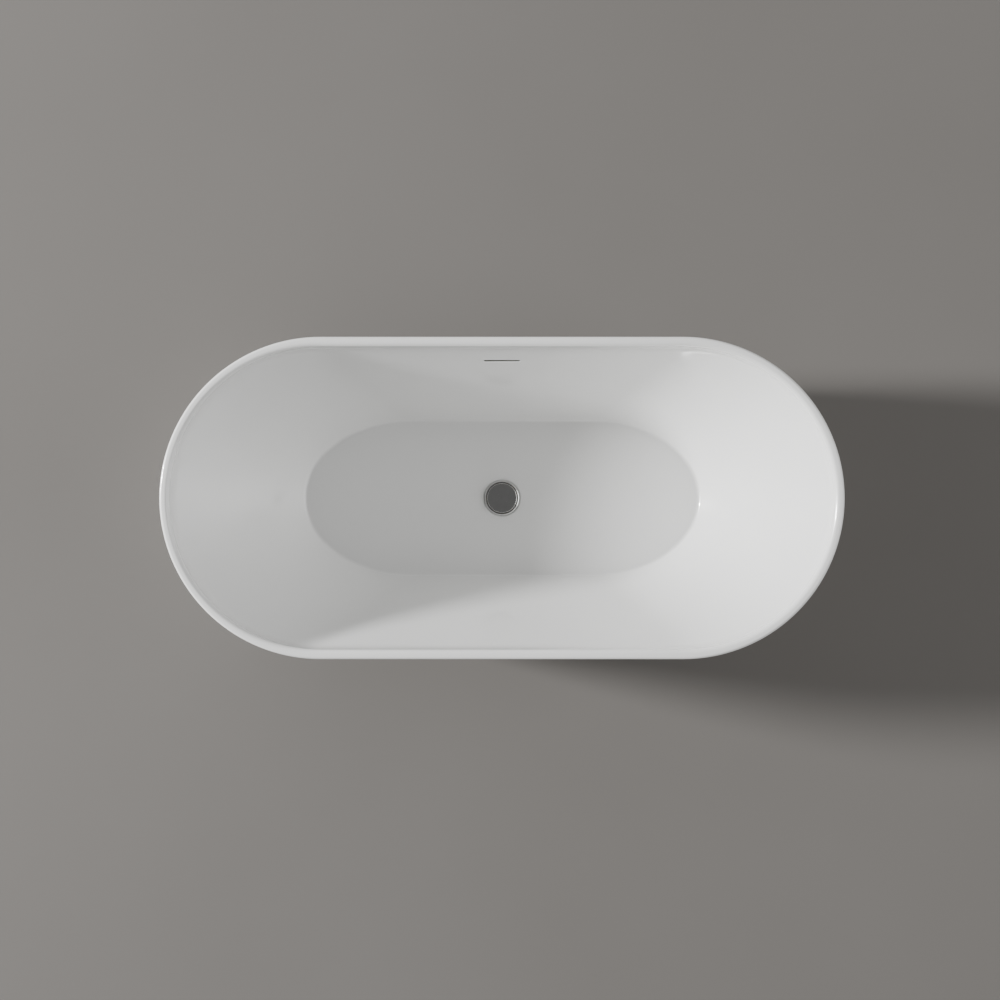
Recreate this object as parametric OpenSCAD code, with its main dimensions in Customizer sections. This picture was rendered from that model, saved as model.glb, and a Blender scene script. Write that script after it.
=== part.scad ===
// Freestanding double-shell bathtub with a slot overflow and a click-clack waste.
// Millimetres. +X runs along the tub, +Y points at the overflow side, +Z is up.
// The origin lies on the floor, under the middle of the tub.

/* [Overall] */
// Length over the rim
tub_l = 1700; // [1400:10:2100]
// Width over the rim
tub_w = 800; // [660:10:980]
// Height of the rim above the floor
tub_h = 580; // [480:5:700]
// Height of the basin's floor, at its edge, above the ground
floor_h = 160; // [160:1:200]

/* [Rim] */
// Width of the flat rim between its outer and inner faces
rim_w = 24; // [22:0.5:40]
// Radius of the rim's outer top edge
rim_outer_r = 7; // [3:0.5:10]
// Radius of the rim's inner top edge
rim_inner_r = 12; // [4:0.5:14]
// Height of the lip that hangs outside the skirt
lip_h = 25; // [20:1:50]
// Thickness of the lip
lip_t = 5; // [4:0.5:7]
// Thickness of the rim between its top and its underside
rim_t = 8; // [6:0.5:12]

/* [Basin] */
// Horizontal run of the end wall from rim to floor
backrest_run = 292; // [180:1:360]
// Horizontal run of the side wall from rim to floor
side_run = 167; // [100:1:200]
// Length of the elliptical end of the floor's outline
floor_end_reach = 284; // [200:1:300]
// Wall thickness, measured level
wall_t = 9; // [7:0.5:11]
// Fall of the floor from its edge to the drain
floor_fall = 7; // [3:0.5:8]
// Thickness of the floor beneath the flange's seat
seat_t = 6; // [5:0.5:10]

/* [Skirt] */
// How far the base stands inside the rim's outline
base_inset = 100; // [40:1:120]
// Bend of the skirt's side: 1 is straight, more is fuller
skirt_bend = 1.8; // [1.2:0.1:2.6]
// Thickness of the skirt
skirt_t = 5; // [4:0.5:6]
// Gap between the skirt and the ground
skirt_gap = 8; // [3:1:15]
// Width of the skirt's inward return at the base
return_w = 35; // [30:1:45]

/* [Overflow] */
// Height of the slot's middle below the rim
slot_drop = 100; // [90:1:130]
// Length of the slot
slot_l = 92; // [70:1:98]
// Height of the slot
slot_h = 8; // [6:0.5:10]
// Outer radius of the overflow hose
hose_r = 12.5; // [10:0.5:15]
// Wall thickness of the overflow hose
hose_t = 2.3; // [1.5:0.1:3]
// Bend radius of the overflow hose
hose_bend_r = 70; // [50:1:80]

/* [Waste] */
// Radius of the chrome flange
flange_r = 47; // [43:0.5:50]
// Radius of the press cap
cap_r = 40; // [38:0.25:41]
// How far the cap is pressed to close
cap_travel = 9; // [5:0.5:10]
// Radius of the hole in the basin
drain_hole_r = 26; // [25:0.5:27]
// Outer radius of the flange's threaded shank
shank_r = 24; // [23:0.25:24.5]
// Outer radius of the tail pipe
tail_r = 20; // [16:0.5:20]
// Free length of the tail pipe below its nut
tail_free_l = 30; // [20:1:36]

/* [Frame] */
// Width and height of the square tube
tube_w = 30; // [25:1:35]
// Wall thickness of the square tube
tube_t = 2; // [1.5:0.1:3]
// Thickness of the floor board
board_t = 12; // [9:1:15]
// Thickness of the ring inside the skirt's base
base_ring_t = 12; // [9:1:18]
// Thickness of the bracket strip
bracket_t = 4; // [3:0.5:6]

/* [Feet] */
// Radius of the foot's threaded stud
stud_r = 6; // [5:0.5:6]
// How far each foot screws out
foot_travel = 20; // [10:1:25]
// Radius of the foot's pad
pad_r = 25; // [20:1:30]

/* [Hidden] */
$fn = 96;

// Clearances
slip = 0.1;        // threads and other parts that slide on each other
fit = 0.4;         // pushed or screwed together and left alone
tuck = 1.5;        // between the lip and the skirt behind it
seam_gap = 1;      // fine open seam below the lip
eps = 0.5;         // how far a cut runs past a face

// Plan of the rim: two half circles joined by straight sides
end_r = tub_w / 2;
straight = (tub_l - tub_w) / 2;
inner_end_r = end_r - rim_w;

// Floor outline: two half ellipses joined by straight sides
floor_a = floor_end_reach;
floor_b = inner_end_r - side_run;
floor_straight = tub_l / 2 - rim_w - backrest_run - floor_a;

// Heights in the basin
wall_top_z = tub_h - rim_inner_r;
wall_drop = wall_top_z - floor_h;
lip_z = tub_h - lip_h;
rim_under_z = tub_h - rim_t;
drain_z = floor_h - floor_fall;
recess_d = 4;
seat_z = drain_z - recess_d;
under_z = seat_z - seat_t;
recess_r = flange_r + 2;
recess_edge_r = 1.5;

// Shares along the wall: p is how far in, q is how far down, both from 0 to 1
steep_q = 0.05;      // the wall starts upright over this share of the drop
fillet_wall = 0.014;  // share of the wall that the floor's fillet takes
fillet_floor = 0.034; // how far past the outline the fillet reaches

// How finely the basin is divided
end_steps = 36;
ring_n = 2 * (end_steps + 1);

// Skirt
shelf_z = lip_z - seam_gap;
tongue_outer = lip_t + tuck;
tongue_inner = tongue_outer + skirt_t + 1;
bead_t = 2;
skirt_steps = 14;
return_t = 5;
base_ring_z = skirt_gap + return_t;
base_ring_top = base_ring_z + base_ring_t;

// Frame
board_z = under_z - board_t;
rail_z = board_z - tube_w;
cross_z = rail_z - tube_w;
board_half_w = floor_b - 44;
rail_y = board_half_w - 40;
cross_x = straight - 20;
rail_half_l = cross_x + 40;
board_half_l = rail_half_l - 5;
base_half_w = end_r - base_inset;
cross_half_l = base_half_w - 65;
end_plate_t = 6;
inner_cross_x = 150;
screw_xs = [for (share = [-0.8, -0.25, 0.25, 0.8]) share * cross_x];
screw_r = 2.2;
bracket_bolt_r = 4;
bracket_bolt_play = 0.3;
ring_screw_r = 1.85;
ring_screw_play = 0.15;

// Feet
foot_x = cross_x;
foot_y = cross_half_l - 20;
nut_h = 8;
weld_nut_h = 10;
nut_half_flats = stud_r * 1.58;
lock_nut_z = cross_z - nut_h;
collar_h = 8;
collar_z = lock_nut_z - 0.2 - collar_h;
stud_top = rail_z + weld_nut_h + foot_travel + 2;
sole_t = 3;
pad_h = 22;
pad_neck_r = 13;
head_r = 8;
head_z = 6;
head_h = 3;

// Waste
seal_t = 1.5;
gasket_t = 4;
body_top = under_z - gasket_t;
collar_t = 8;
collar_r = shank_r + 14;
shank_bottom = under_z - 42;
shank_bore_r = shank_r - 4;
spider_t = 5;
spoke_w = 4;
boss_r = 8;
chamber_r = shank_r + 0.3;
body_r = chamber_r + 4.7;
port_z = shank_bottom - 20;
spigot_r = tail_r - 0.6;   // the pipe's slimmer upper length, in the socket
socket_r = spigot_r + fit;
socket_outer_r = tail_r + 6;
stop_z = port_z - hose_r - 3.5;
socket_bottom = stop_z - 20;
washer_t = 2;
tail_nut_h = 18;
tail_nut_floor = 4;
tail_nut_z = socket_bottom - washer_t - tail_nut_floor;
bead_h = 2;
bead_z = tail_nut_z - bead_h;
tail_bottom = bead_z - tail_free_l;
tail_t = 1.8;
stop_r = tail_r - 2;        // bore of the step that stops the pipe
socket_gap = 0.5;

// Barbs that the overflow hose is pushed over
barb_r = hose_r - hose_t - slip;
barb_root_r = barb_r - 0.6;
barb_bore_r = barb_root_r - 2;
barb_l = 31;
barb_ridge_h = 5;
barb_pitch = 7;
barb_first = 3;

// Click cartridge, from the spider up
spring_end_gap = 0.3;
cartridge_z = shank_bottom + spider_t;
cartridge_r = 9.5;
cartridge_bore_r = 7.5;
cartridge_top = seat_z - 2;
cartridge_wall = 2;
plunger_r = 7.2;
stem_r = 4;
pin_r = 4.9;
head_top = cartridge_top - cartridge_wall - 0.2;
plunger_h = 4.8;
index_h = 5;
index_top = head_top - plunger_h - 0.2;
index_bottom = index_top - index_h;
spring_bottom = cartridge_z + cartridge_wall + spring_end_gap;
spring_top = index_bottom - spring_end_gap;
spring_turns = 7;
spring_wire_r = 0.6;
spring_r = 5.4;

// Flange and cap, measured from the seat
flange_z = seat_z + seal_t;
flange_t = 3.6;
flange_top = flange_z + flange_t;
dish_floor = 1.2;    // metal left under the dish
ring_r = cap_r + 1.2; // inner edge of the flange's raised ring
ring_peak_r = ring_r + 0.8;
ring_edge_t = 0.9;   // thickness at the ring's outer edge
cap_under = flange_top + 0.4 + cap_travel;
cap_edge_t = 3.2;
cap_dome = 1.5;
cap_boss_under = cartridge_top + 0.5 + cap_travel;
cap_seal_t = 2.2;
cap_seal_r = cap_r - 4.5;

// Overflow, set on the outside of the back wall
slot_z = tub_h - slot_drop;
wall_tilt = atan2(side_run, (1 - steep_q) * wall_drop);
frame_t = 3;
mouth_half_l = slot_l / 2 + 5;
mouth_top = slot_h / 2 + 4;
mouth_low = -slot_h / 2 - 5;
box_wall = 3;
box_half_l = mouth_half_l + 5;
box_top = mouth_top + 6;
box_low = mouth_low - 7;
box_mid = (box_top + box_low) / 2;
sump_top = box_low + 4;
sump_bottom = sump_top - 40;
slim_d = 17;
hose_n = hose_r + 3.5;
sump_d = hose_n + 10;
stud_x = box_half_l + 10;
ear_half_l = stud_x + 9;
wall_stud_r = 2.5;
hose_top = sump_bottom - 3;

// ---------- plan outlines and the basin's surface ----------

function lerp(a, b, t) = a + (b - a) * t;

end_angles = [for (i = [0:end_steps]) -90 + 180 * i / end_steps];

// A closed outline with straight sides of half length s and ends of semi-axes a and b
function outline(s, a, b) = concat(
    [for (t = end_angles) [s + a * cos(t), b * sin(t)]],
    [for (t = end_angles) [-s - a * cos(t), -b * sin(t)]]
);

function circle_points(r) = [
    for (i = [0:ring_n - 1])
        let (t = -90 + 360 * (i + 0.5) / ring_n)
        [r * cos(t), r * sin(t)]
];

function level(points, z) = [for (p = points) [p.x, p.y, z]];

// A ring on the rim, inset from its outer face
function rim_ring(inset, z) = level(outline(straight, end_r - inset, end_r - inset), z);

// The outline of the wall a share p of the way in, grown by extra
function wall_outline(p, extra = 0) = outline(
    lerp(straight, floor_straight, p),
    lerp(inner_end_r, floor_a, p) + extra,
    lerp(inner_end_r, floor_b, p) + extra
);

// A ring on the wall, at the point pq of its section
function wall_ring(pq, extra = 0) =
    level(wall_outline(pq.x, extra), wall_top_z - pq.y * wall_drop);

// A ring between the floor's outline and a circle round the drain
function floor_ring(share, r, z) =
    let (edge = wall_outline(1 + fillet_floor), hub = circle_points(r))
    [for (i = [0:ring_n - 1]) [
        lerp(edge[i].x, hub[i].x, share), lerp(edge[i].y, hub[i].y, share), z
    ]];

function drain_ring(r, z) = level(circle_points(r), z);

// The wall's section: upright at the top, then straight to the floor's outline
function line_p(q) = (q - steep_q) / (1 - steep_q);
function bezier(a, b, c, t) = (1 - t) * (1 - t) * a + 2 * t * (1 - t) * b + t * t * c;

steep_end = [line_p(2 * steep_q), 2 * steep_q];
fillet_start = [line_p(1 - fillet_wall), 1 - fillet_wall];
fillet_end = [1 + fillet_floor, 1];

steep_section = [for (t = [0.25, 0.5, 0.75, 1]) bezier([0, 0], [0, steep_q], steep_end, t)];
straight_section = [for (t = [0.25, 0.5, 0.75]) lerp(steep_end, fillet_start, t)];
fillet_section = [for (t = [0:0.2:1]) bezier(fillet_start, [1, 1], fillet_end, t)];

under_q = (wall_top_z - under_z) / wall_drop;
under_p = line_p(under_q);

basin_rings = concat(
    [rim_ring(0, lip_z)],
    [for (t = [0:22.5:90]) rim_ring(rim_outer_r * (1 - cos(t)), tub_h - rim_outer_r * (1 - sin(t)))],
    [for (t = [0:22.5:90]) rim_ring(rim_w - rim_inner_r * (1 - sin(t)), wall_top_z + rim_inner_r * cos(t))],
    [for (pq = concat(steep_section, straight_section, fillet_section)) wall_ring(pq)],
    [for (share = [0.35, 0.7]) floor_ring(share, recess_r + 12, floor_h - floor_fall * share)],
    [drain_ring(recess_r + 12, drain_z)],
    [drain_ring(recess_r + recess_edge_r, drain_z)],
    [drain_ring(recess_r + 0.4, drain_z - 0.5)],
    [drain_ring(recess_r, drain_z - recess_edge_r)],
    [drain_ring(recess_r - 0.8, seat_z)],
    [drain_ring(drain_hole_r, seat_z)],
    [drain_ring(drain_hole_r, under_z)],
    [floor_ring(0.5, collar_r + 20, under_z)],
    [level(wall_outline(under_p, wall_t), under_z)],
    [for (pq = [fillet_start, straight_section[1], steep_section[3]]) wall_ring(pq, wall_t)],
    [for (t = [0.66, 0.33]) wall_ring(bezier([0, 0], [0, steep_q], steep_end, t), wall_t)],
    [rim_ring(rim_w - wall_t, rim_under_z)],
    [rim_ring(lip_t, rim_under_z)],
    [rim_ring(lip_t, lip_z)]
);

// Joins rings of equal length into one closed surface, the last ring to the first
module ring_solid(rings) {
    n = len(rings[0]);
    m = len(rings);
    points = [for (ring = rings) each ring];
    faces = [
        for (i = [0:m - 1], j = [0:n - 1])
            let (
                a = i * n + j,
                b = i * n + (j + 1) % n,
                c = ((i + 1) % m) * n + (j + 1) % n,
                d = ((i + 1) % m) * n + j
            )
            each [[a, c, b], [a, d, c]]
    ];
    polyhedron(points, faces);
}

// Inner face of the back wall at a height in its straight part
function wall_y(z) = inner_end_r - side_run * line_p((wall_top_z - z) / wall_drop);
slot_back_y = wall_y(slot_z) + wall_t;

// ---------- shared shapes ----------

// A plate with straight sides of half length s, round ends of radius r and thickness t
module stadium_plate(s, r, t) {
    linear_extrude(t) {
        square([2 * s, 2 * r], center = true);
        for (side = [-1, 1]) translate([side * s, 0]) circle(r);
    }
}

module stadium_frame(s, outer_r, inner_r, t) {
    difference() {
        stadium_plate(s, outer_r, t);
        translate([0, 0, -eps]) stadium_plate(s, inner_r, t + 2 * eps);
    }
}

// A ridged hose barb pointing up, its tip at Z 0 and its root buried by a given depth
module barb(depth) {
    translate([0, 0, -barb_l - depth]) cylinder(r = barb_root_r, h = barb_l + depth);
    for (i = [0:2]) translate([0, 0, -barb_first - barb_ridge_h - i * barb_pitch])
        cylinder(r1 = barb_r, r2 = barb_root_r - 0.2, h = barb_ridge_h);
}

module tube_ring(outer_r, inner_r, h) {
    difference() {
        cylinder(r = outer_r, h = h);
        translate([0, 0, -eps]) cylinder(r = inner_r, h = h + 2 * eps);
    }
}

// A hexagon by half the distance across its flats
module hexagon(half_flats, h) {
    cylinder(r = half_flats / cos(30), h = h, $fn = 6);
}

module nut(half_flats, bore_r, h) {
    difference() {
        hexagon(half_flats, h);
        translate([0, 0, -eps]) cylinder(r = bore_r, h = h + 2 * eps);
    }
}

// A square tube along X, centred on X and Y and standing on Z 0
module square_tube(l) {
    translate([-l / 2, 0, tube_w / 2]) rotate([90, 0, 90]) linear_extrude(l) difference() {
        square(tube_w, center = true);
        square(tube_w - 2 * tube_t, center = true);
    }
}

// Puts children on the back wall's outside: local Y leaves the wall, local Z climbs it
module on_back_wall() {
    translate([0, slot_back_y, slot_z]) rotate([-wall_tilt, 0, 0]) children();
}

module at_corner(i) {
    sx = i < 3 ? -1 : 1;
    sy = i % 2 == 1 ? -1 : 1;
    translate([sx * foot_x, sy * foot_y, 0]) children();
}

module at_corners() {
    for (i = [1:4]) at_corner(i) children();
}

// ---------- shells ----------

module basin_shell() {
    color("white") difference() {
        ring_solid(basin_rings);
        translate([0, slot_back_y, slot_z]) rotate([90, 0, 0]) linear_extrude(4 * wall_t, center = true) {
            square([slot_l - slot_h, slot_h], center = true);
            for (side = [-1, 1]) translate([side * (slot_l - slot_h) / 2, 0]) circle(slot_h / 2);
        }
    }
}

// How far the skirt's outer face stands inside the rim's outline at a height
function skirt_inset(z) = base_inset * pow(1 - (z - skirt_gap) / (shelf_z - skirt_gap), skirt_bend);

function skirt_heights(low, high) = [for (i = [0:skirt_steps]) lerp(low, high, i / skirt_steps)];

skirt_profile = concat(
    [[base_inset + 2, skirt_gap]],
    [for (z = skirt_heights(skirt_gap + 2, shelf_z)) [skirt_inset(z), z]],
    [[tongue_outer, shelf_z]],
    [[tongue_outer, rim_under_z - bead_t]],
    [[tongue_inner, rim_under_z - bead_t]],
    [[tongue_inner, shelf_z - 4]],
    [for (z = skirt_heights(shelf_z - 14, skirt_gap + return_t)) [skirt_inset(z) + skirt_t, z]],
    [[base_inset + return_w, skirt_gap + return_t]],
    [[base_inset + return_w, skirt_gap]]
);

// Carries a section of [inset, height] points round the tub's plan
module round_the_plan(section) {
    for (turn = [0, 180]) rotate([0, 0, turn]) {
        translate([straight, 0, 0]) rotate([0, 0, -90]) rotate_extrude(angle = 180)
            polygon([for (p = section) [end_r - p.x, p.y]]);
        translate([-straight, 0, 0]) rotate([90, 0, 90]) linear_extrude(2 * straight)
            polygon([for (p = section) [end_r - p.x, p.y]]);
    }
}

module outer_skirt() {
    color("white") round_the_plan(skirt_profile);
}

module rim_bond_bead() {
    color("gainsboro") translate([0, 0, rim_under_z - bead_t])
        stadium_frame(straight, end_r - tongue_outer, end_r - tongue_inner, bead_t);
}

module skirt_base_ring() {
    color("burlywood") difference() {
        translate([0, 0, base_ring_z]) stadium_frame(
            straight,
            end_r - base_inset - skirt_t - fit,
            end_r - base_inset - return_w + 2,
            base_ring_t
        );
        at_corners_outward() ring_screw_places()
            translate([0, 0, base_ring_z + 3])
                cylinder(r = ring_screw_r + ring_screw_play, h = base_ring_t);
    }
}

module floor_board() {
    color("burlywood") difference() {
        translate([0, 0, board_z])
            stadium_plate(board_half_l - board_half_w, board_half_w, board_t);
        translate([0, 0, board_z - eps]) cylinder(r = collar_r + 7, h = board_t + 2 * eps);
        board_screw_places() translate([0, 0, board_z - eps]) cylinder(r = screw_r, h = board_t - 2);
    }
}

// ---------- frame ----------

module board_screw_places() {
    for (side = [-1, 1], x = screw_xs) translate([x, side * rail_y, 0]) children();
}

module long_rail(side) {
    color("dimgray") difference() {
        translate([0, side * rail_y, rail_z]) square_tube(2 * rail_half_l);
        board_screw_places() translate([0, 0, rail_z - eps])
            cylinder(r = screw_r + fit, h = tube_w + 2 * eps);
    }
}

module cross_rail(side) {
    plate_y = cross_half_l - end_plate_t;
    color("dimgray") difference() {
        translate([side * cross_x, 0, cross_z]) {
            rotate([0, 0, 90]) square_tube(2 * cross_half_l);
            for (turn = [0, 180]) rotate([0, 0, turn])
                translate([-tube_w / 2 + 1, plate_y, 1]) cube([tube_w - 2, end_plate_t, tube_w - 2]);
        }
        at_corners() translate([0, 0, cross_z - eps]) cylinder(r = stud_r + fit, h = tube_w + 2 * eps);
        for (turn = [0, 180])
            translate([side * cross_x, 0, cross_z + tube_w / 2]) rotate([0, 0, turn])
                translate([0, plate_y - eps, 0]) rotate([-90, 0, 0])
                    cylinder(r = bracket_bolt_r + slip, h = end_plate_t + 2 * eps);
    }
}

module inner_cross_rail(side) {
    color("dimgray") translate([side * inner_cross_x, 0, rail_z]) rotate([0, 0, 90])
        square_tube(2 * rail_y - tube_w);
}

module rail_end_plugs() {
    bore = tube_w - 2 * tube_t - fit;
    color("black") for (turn = [0, 180], side = [-1, 1]) rotate([0, 0, turn])
        translate([rail_half_l, side * rail_y, rail_z + tube_w / 2]) {
            translate([0, -tube_w / 2, -tube_w / 2]) cube([3, tube_w, tube_w]);
            translate([-12, -bore / 2, -bore / 2]) cube([12, bore, bore]);
        }
}

module rail_board_screws() {
    color("silver") board_screw_places() {
        translate([0, 0, rail_z - 3]) cylinder(r = 5, h = 3);
        translate([0, 0, rail_z - 1]) cylinder(r = screw_r - slip, h = tube_w + board_t - 3);
    }
}

// Puts children at each cross rail's end, local Y pointing at the skirt
module at_corner_outward(i) {
    sx = i < 3 ? -1 : 1;
    turn = i % 2 == 1 ? 180 : 0;
    translate([sx * cross_x, 0, 0]) rotate([0, 0, turn]) translate([0, cross_half_l, 0]) children();
}

module at_corners_outward() {
    for (i = [1:4]) at_corner_outward(i) children();
}

bracket_w = 40;
ring_line = base_half_w - skirt_t - return_w / 2 + 2 - cross_half_l;
leg_l = base_half_w - skirt_t - 6 - cross_half_l;

module ring_screw_places() {
    for (x = [-12, 12]) translate([x, ring_line, 0]) children();
}

module skirt_bracket(i) {
    color("silver") at_corner_outward(i) difference() {
        union() {
            translate([-bracket_w / 2, 0, base_ring_top])
                cube([bracket_w, bracket_t, cross_z + tube_w - 4 - base_ring_top]);
            translate([-bracket_w / 2, 0, base_ring_top]) cube([bracket_w, leg_l, bracket_t]);
        }
        ring_screw_places() translate([0, 0, base_ring_top - eps])
            cylinder(r = ring_screw_r + ring_screw_play + fit, h = bracket_t + 2 * eps);
        translate([0, -eps, cross_z + tube_w / 2]) rotate([-90, 0, 0])
            cylinder(r = bracket_bolt_r + bracket_bolt_play, h = bracket_t + 2 * eps);
    }
}

module bracket_rail_bolts() {
    color("silver") at_corners_outward() translate([0, bracket_t, cross_z + tube_w / 2]) {
        rotate([-90, 0, 0]) hexagon(6.5, 5.3);
        rotate([90, 0, 0]) cylinder(r = bracket_bolt_r, h = bracket_t + end_plate_t + 6);
    }
}

module bracket_ring_screws() {
    color("silver") at_corners_outward() ring_screw_places()
        translate([0, 0, base_ring_top + bracket_t]) {
            cylinder(r = 4.2, h = 2.5);
            translate([0, 0, 1 - bracket_t - base_ring_t + 3])
                cylinder(r = ring_screw_r, h = bracket_t + base_ring_t - 3);
        }
}

// ---------- feet ----------

module foot_weld_nuts() {
    color("silver") at_corners() translate([0, 0, rail_z]) nut(nut_half_flats, stud_r + slip, weld_nut_h);
}

module foot_lock_nuts() {
    color("silver") at_corners() translate([0, 0, lock_nut_z]) nut(nut_half_flats, stud_r + slip, nut_h);
}

module foot_stud(i) {
    color("silver") at_corner(i) {
        translate([0, 0, head_z]) cylinder(r = head_r, h = head_h);
        translate([0, 0, head_z]) cylinder(r = stud_r - 1, h = pad_h);
        translate([0, 0, pad_h + 2]) cylinder(r = stud_r, h = stud_top - pad_h - 3);
        translate([0, 0, stud_top - 1]) cylinder(r1 = stud_r, r2 = stud_r - 1, h = 1);
        translate([0, 0, collar_z]) hexagon(nut_half_flats - 1, collar_h);
    }
}

module foot_pad(i) {
    color("black") at_corner(i) rotate_extrude() polygon([
        [0, sole_t], [pad_r - 1, sole_t], [pad_r, sole_t + 1], [pad_r, sole_t + 4],
        [pad_neck_r + 2, pad_h - 4], [pad_neck_r, pad_h],
        [stud_r - 1 + slip, pad_h], [stud_r - 1 + slip, head_z + head_h + slip],
        [head_r + slip, head_z + head_h + slip], [head_r + slip, head_z - slip], [0, head_z - slip]
    ]);
}

module foot_sole(i) {
    color("dimgray") at_corner(i) cylinder(r = pad_r - 1.5, h = sole_t);
}

// ---------- waste ----------

module drain_flange() {
    color("gainsboro") {
        rotate_extrude() polygon(concat(
            [
                [shank_r, shank_bottom], [shank_r, flange_z], [flange_r - 0.6, flange_z]
            ],
            [for (t = [0:15:90]) [
                lerp(ring_peak_r, flange_r, cos(t)), lerp(flange_z + ring_edge_t, flange_top, sin(t))
            ]],
            [[ring_r, flange_top - 0.6]],
            [for (p = [[-2, dish_floor + 0.7], [-5, dish_floor]]) [cap_r + p.x, flange_z + p.y]],
            [[shank_r - 0.5, flange_z + dish_floor], [shank_bore_r, flange_z - 3], [shank_bore_r, shank_bottom]]
        ));
        translate([0, 0, shank_bottom]) tube_ring(boss_r, pin_r + slip, spider_t);
        for (turn = [0:90:270]) rotate([0, 0, turn + 45])
            translate([pin_r + 1, -spoke_w / 2, shank_bottom])
                cube([shank_bore_r - pin_r, spoke_w, spider_t]);
    }
}

module flange_seal() {
    color("dimgray") translate([0, 0, seat_z]) tube_ring(flange_r - 2.5, shank_r + fit, seal_t);
}

module body_gasket() {
    color("dimgray") translate([0, 0, body_top]) tube_ring(collar_r - 1, shank_r + fit, gasket_t);
}

module drain_body() {
    color("whitesmoke") difference() {
        union() {
            rotate_extrude() polygon([
                [0, socket_bottom], [socket_outer_r, socket_bottom], [socket_outer_r, stop_z - 1],
                [body_r, stop_z + 4], [body_r, body_top - collar_t], [collar_r, body_top - collar_t],
                [collar_r, body_top], [0, body_top]
            ]);
            translate([0, body_r + barb_l, port_z]) rotate([-90, 0, 0]) barb(3);
        }
        rotate_extrude() polygon([
            [0, socket_bottom - eps], [socket_r, socket_bottom - eps], [socket_r, stop_z - 2],
            [stop_r, stop_z - 2], [stop_r, stop_z + 2], [chamber_r, stop_z + 6],
            [chamber_r, body_top + eps], [0, body_top + eps]
        ]);
        translate([0, 0, port_z]) rotate([-90, 0, 0]) cylinder(r = barb_bore_r, h = body_r + barb_l + eps);
    }
}

module cartridge_body() {
    color("goldenrod") rotate_extrude() polygon([
        [0, shank_bottom + 1], [pin_r, shank_bottom + 1], [pin_r, cartridge_z], [cartridge_r, cartridge_z],
        [cartridge_r, cartridge_top - 1], [cartridge_r - 1, cartridge_top], [stem_r + slip, cartridge_top],
        [stem_r + slip, cartridge_top - cartridge_wall], [cartridge_bore_r, cartridge_top - cartridge_wall],
        [cartridge_bore_r, cartridge_z + cartridge_wall], [0, cartridge_z + cartridge_wall]
    ]);
}

// A round wire wound in a helix, with flat-cut ends
module click_spring() {
    steps = 14;
    sides = 6;
    n = spring_turns * steps;
    rise = (spring_top - spring_bottom - 2 * spring_wire_r) / n;
    function wire_ring(i) =
        let (turn = 360 * i / steps, z = spring_bottom + spring_wire_r + i * rise)
        [for (k = [0:sides - 1])
            let (r = spring_r + spring_wire_r * cos(360 * k / sides))
            [r * cos(turn), r * sin(turn), z + spring_wire_r * sin(360 * k / sides)]];
    points = [for (i = [0:n]) each wire_ring(i)];
    skin = [for (i = [0:n - 1], k = [0:sides - 1])
        let (
            a = i * sides + k,
            b = i * sides + (k + 1) % sides,
            c = a + sides,
            d = b + sides
        )
        each [[a, b, d], [a, d, c]]];
    ends = [[for (k = [sides - 1:-1:0]) k], [for (k = [0:sides - 1]) n * sides + k]];
    color("silver") polyhedron(points, concat(skin, ends));
}

module index_ring() {
    color("white") difference() {
        translate([0, 0, index_bottom]) tube_ring(plunger_r, 3, index_h);
        for (turn = [0:45:135]) rotate([0, 0, turn])
            translate([-plunger_r - eps, -0.7, index_bottom - eps])
                cube([2 * plunger_r + 2 * eps, 1.4, 1.5 + eps]);
    }
}

module cap_stem() {
    color("silver") {
        translate([0, 0, head_top - plunger_h]) cylinder(r = plunger_r, h = plunger_h);
        translate([0, 0, head_top - 1]) cylinder(r = stem_r, h = cap_under + 1 - head_top + 0.5);
    }
}

module cap_seal() {
    color("black") translate([0, 0, cap_under - cap_seal_t])
        tube_ring(cap_seal_r, boss_r + 1, cap_seal_t);
}

module drain_cap() {
    top = cap_under + cap_edge_t;
    dome_r = (cap_r * cap_r + cap_dome * cap_dome) / (2 * cap_dome);
    dome_steps = 8;
    dome_span = asin((cap_r - 1.2) / dome_r);
    color("gainsboro") rotate_extrude() polygon(concat(
        [
            [stem_r + 0.05, cap_boss_under], [boss_r, cap_boss_under], [boss_r, cap_under],
            [cap_r - 0.8, cap_under], [cap_r, cap_under + 0.8], [cap_r, top - 1.2], [cap_r - 0.4, top - 0.4]
        ],
        [for (i = [dome_steps:-1:0])
            let (t = dome_span * i / dome_steps)
            [dome_r * sin(t), top + cap_dome - dome_r * (1 - cos(t))]],
        [[0, cap_under + 1], [stem_r + 0.05, cap_under + 1]]
    ));
}

module tail_pipe() {
    bead_r = tail_r + 1.2;
    top = stop_z - 2 - socket_gap;
    color("gainsboro") rotate_extrude() polygon([
        [tail_r - tail_t, tail_bottom], [tail_r, tail_bottom], [tail_r, bead_z],
        [bead_r, bead_z], [bead_r, tail_nut_z], [spigot_r, tail_nut_z],
        [spigot_r, top], [tail_r - tail_t, top]
    ]);
}

module tail_washer() {
    color("dimgray") translate([0, 0, tail_nut_z + tail_nut_floor])
        tube_ring(socket_outer_r - 0.2, spigot_r + slip, washer_t);
}

module tail_nut() {
    lug_n = 8;
    color("gainsboro") difference() {
        union() {
            translate([0, 0, tail_nut_z]) cylinder(r = socket_outer_r + 4, h = tail_nut_h);
            for (i = [0:lug_n - 1]) rotate([0, 0, 360 * i / lug_n])
                translate([socket_outer_r + 2, -2.5, tail_nut_z + 2]) cube([4, 5, tail_nut_h - 4]);
        }
        translate([0, 0, tail_nut_z - eps]) cylinder(r = spigot_r + fit, h = tail_nut_h + 2 * eps);
        translate([0, 0, tail_nut_z + tail_nut_floor]) cylinder(r = socket_outer_r + slip, h = tail_nut_h);
    }
}

// ---------- overflow ----------

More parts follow.
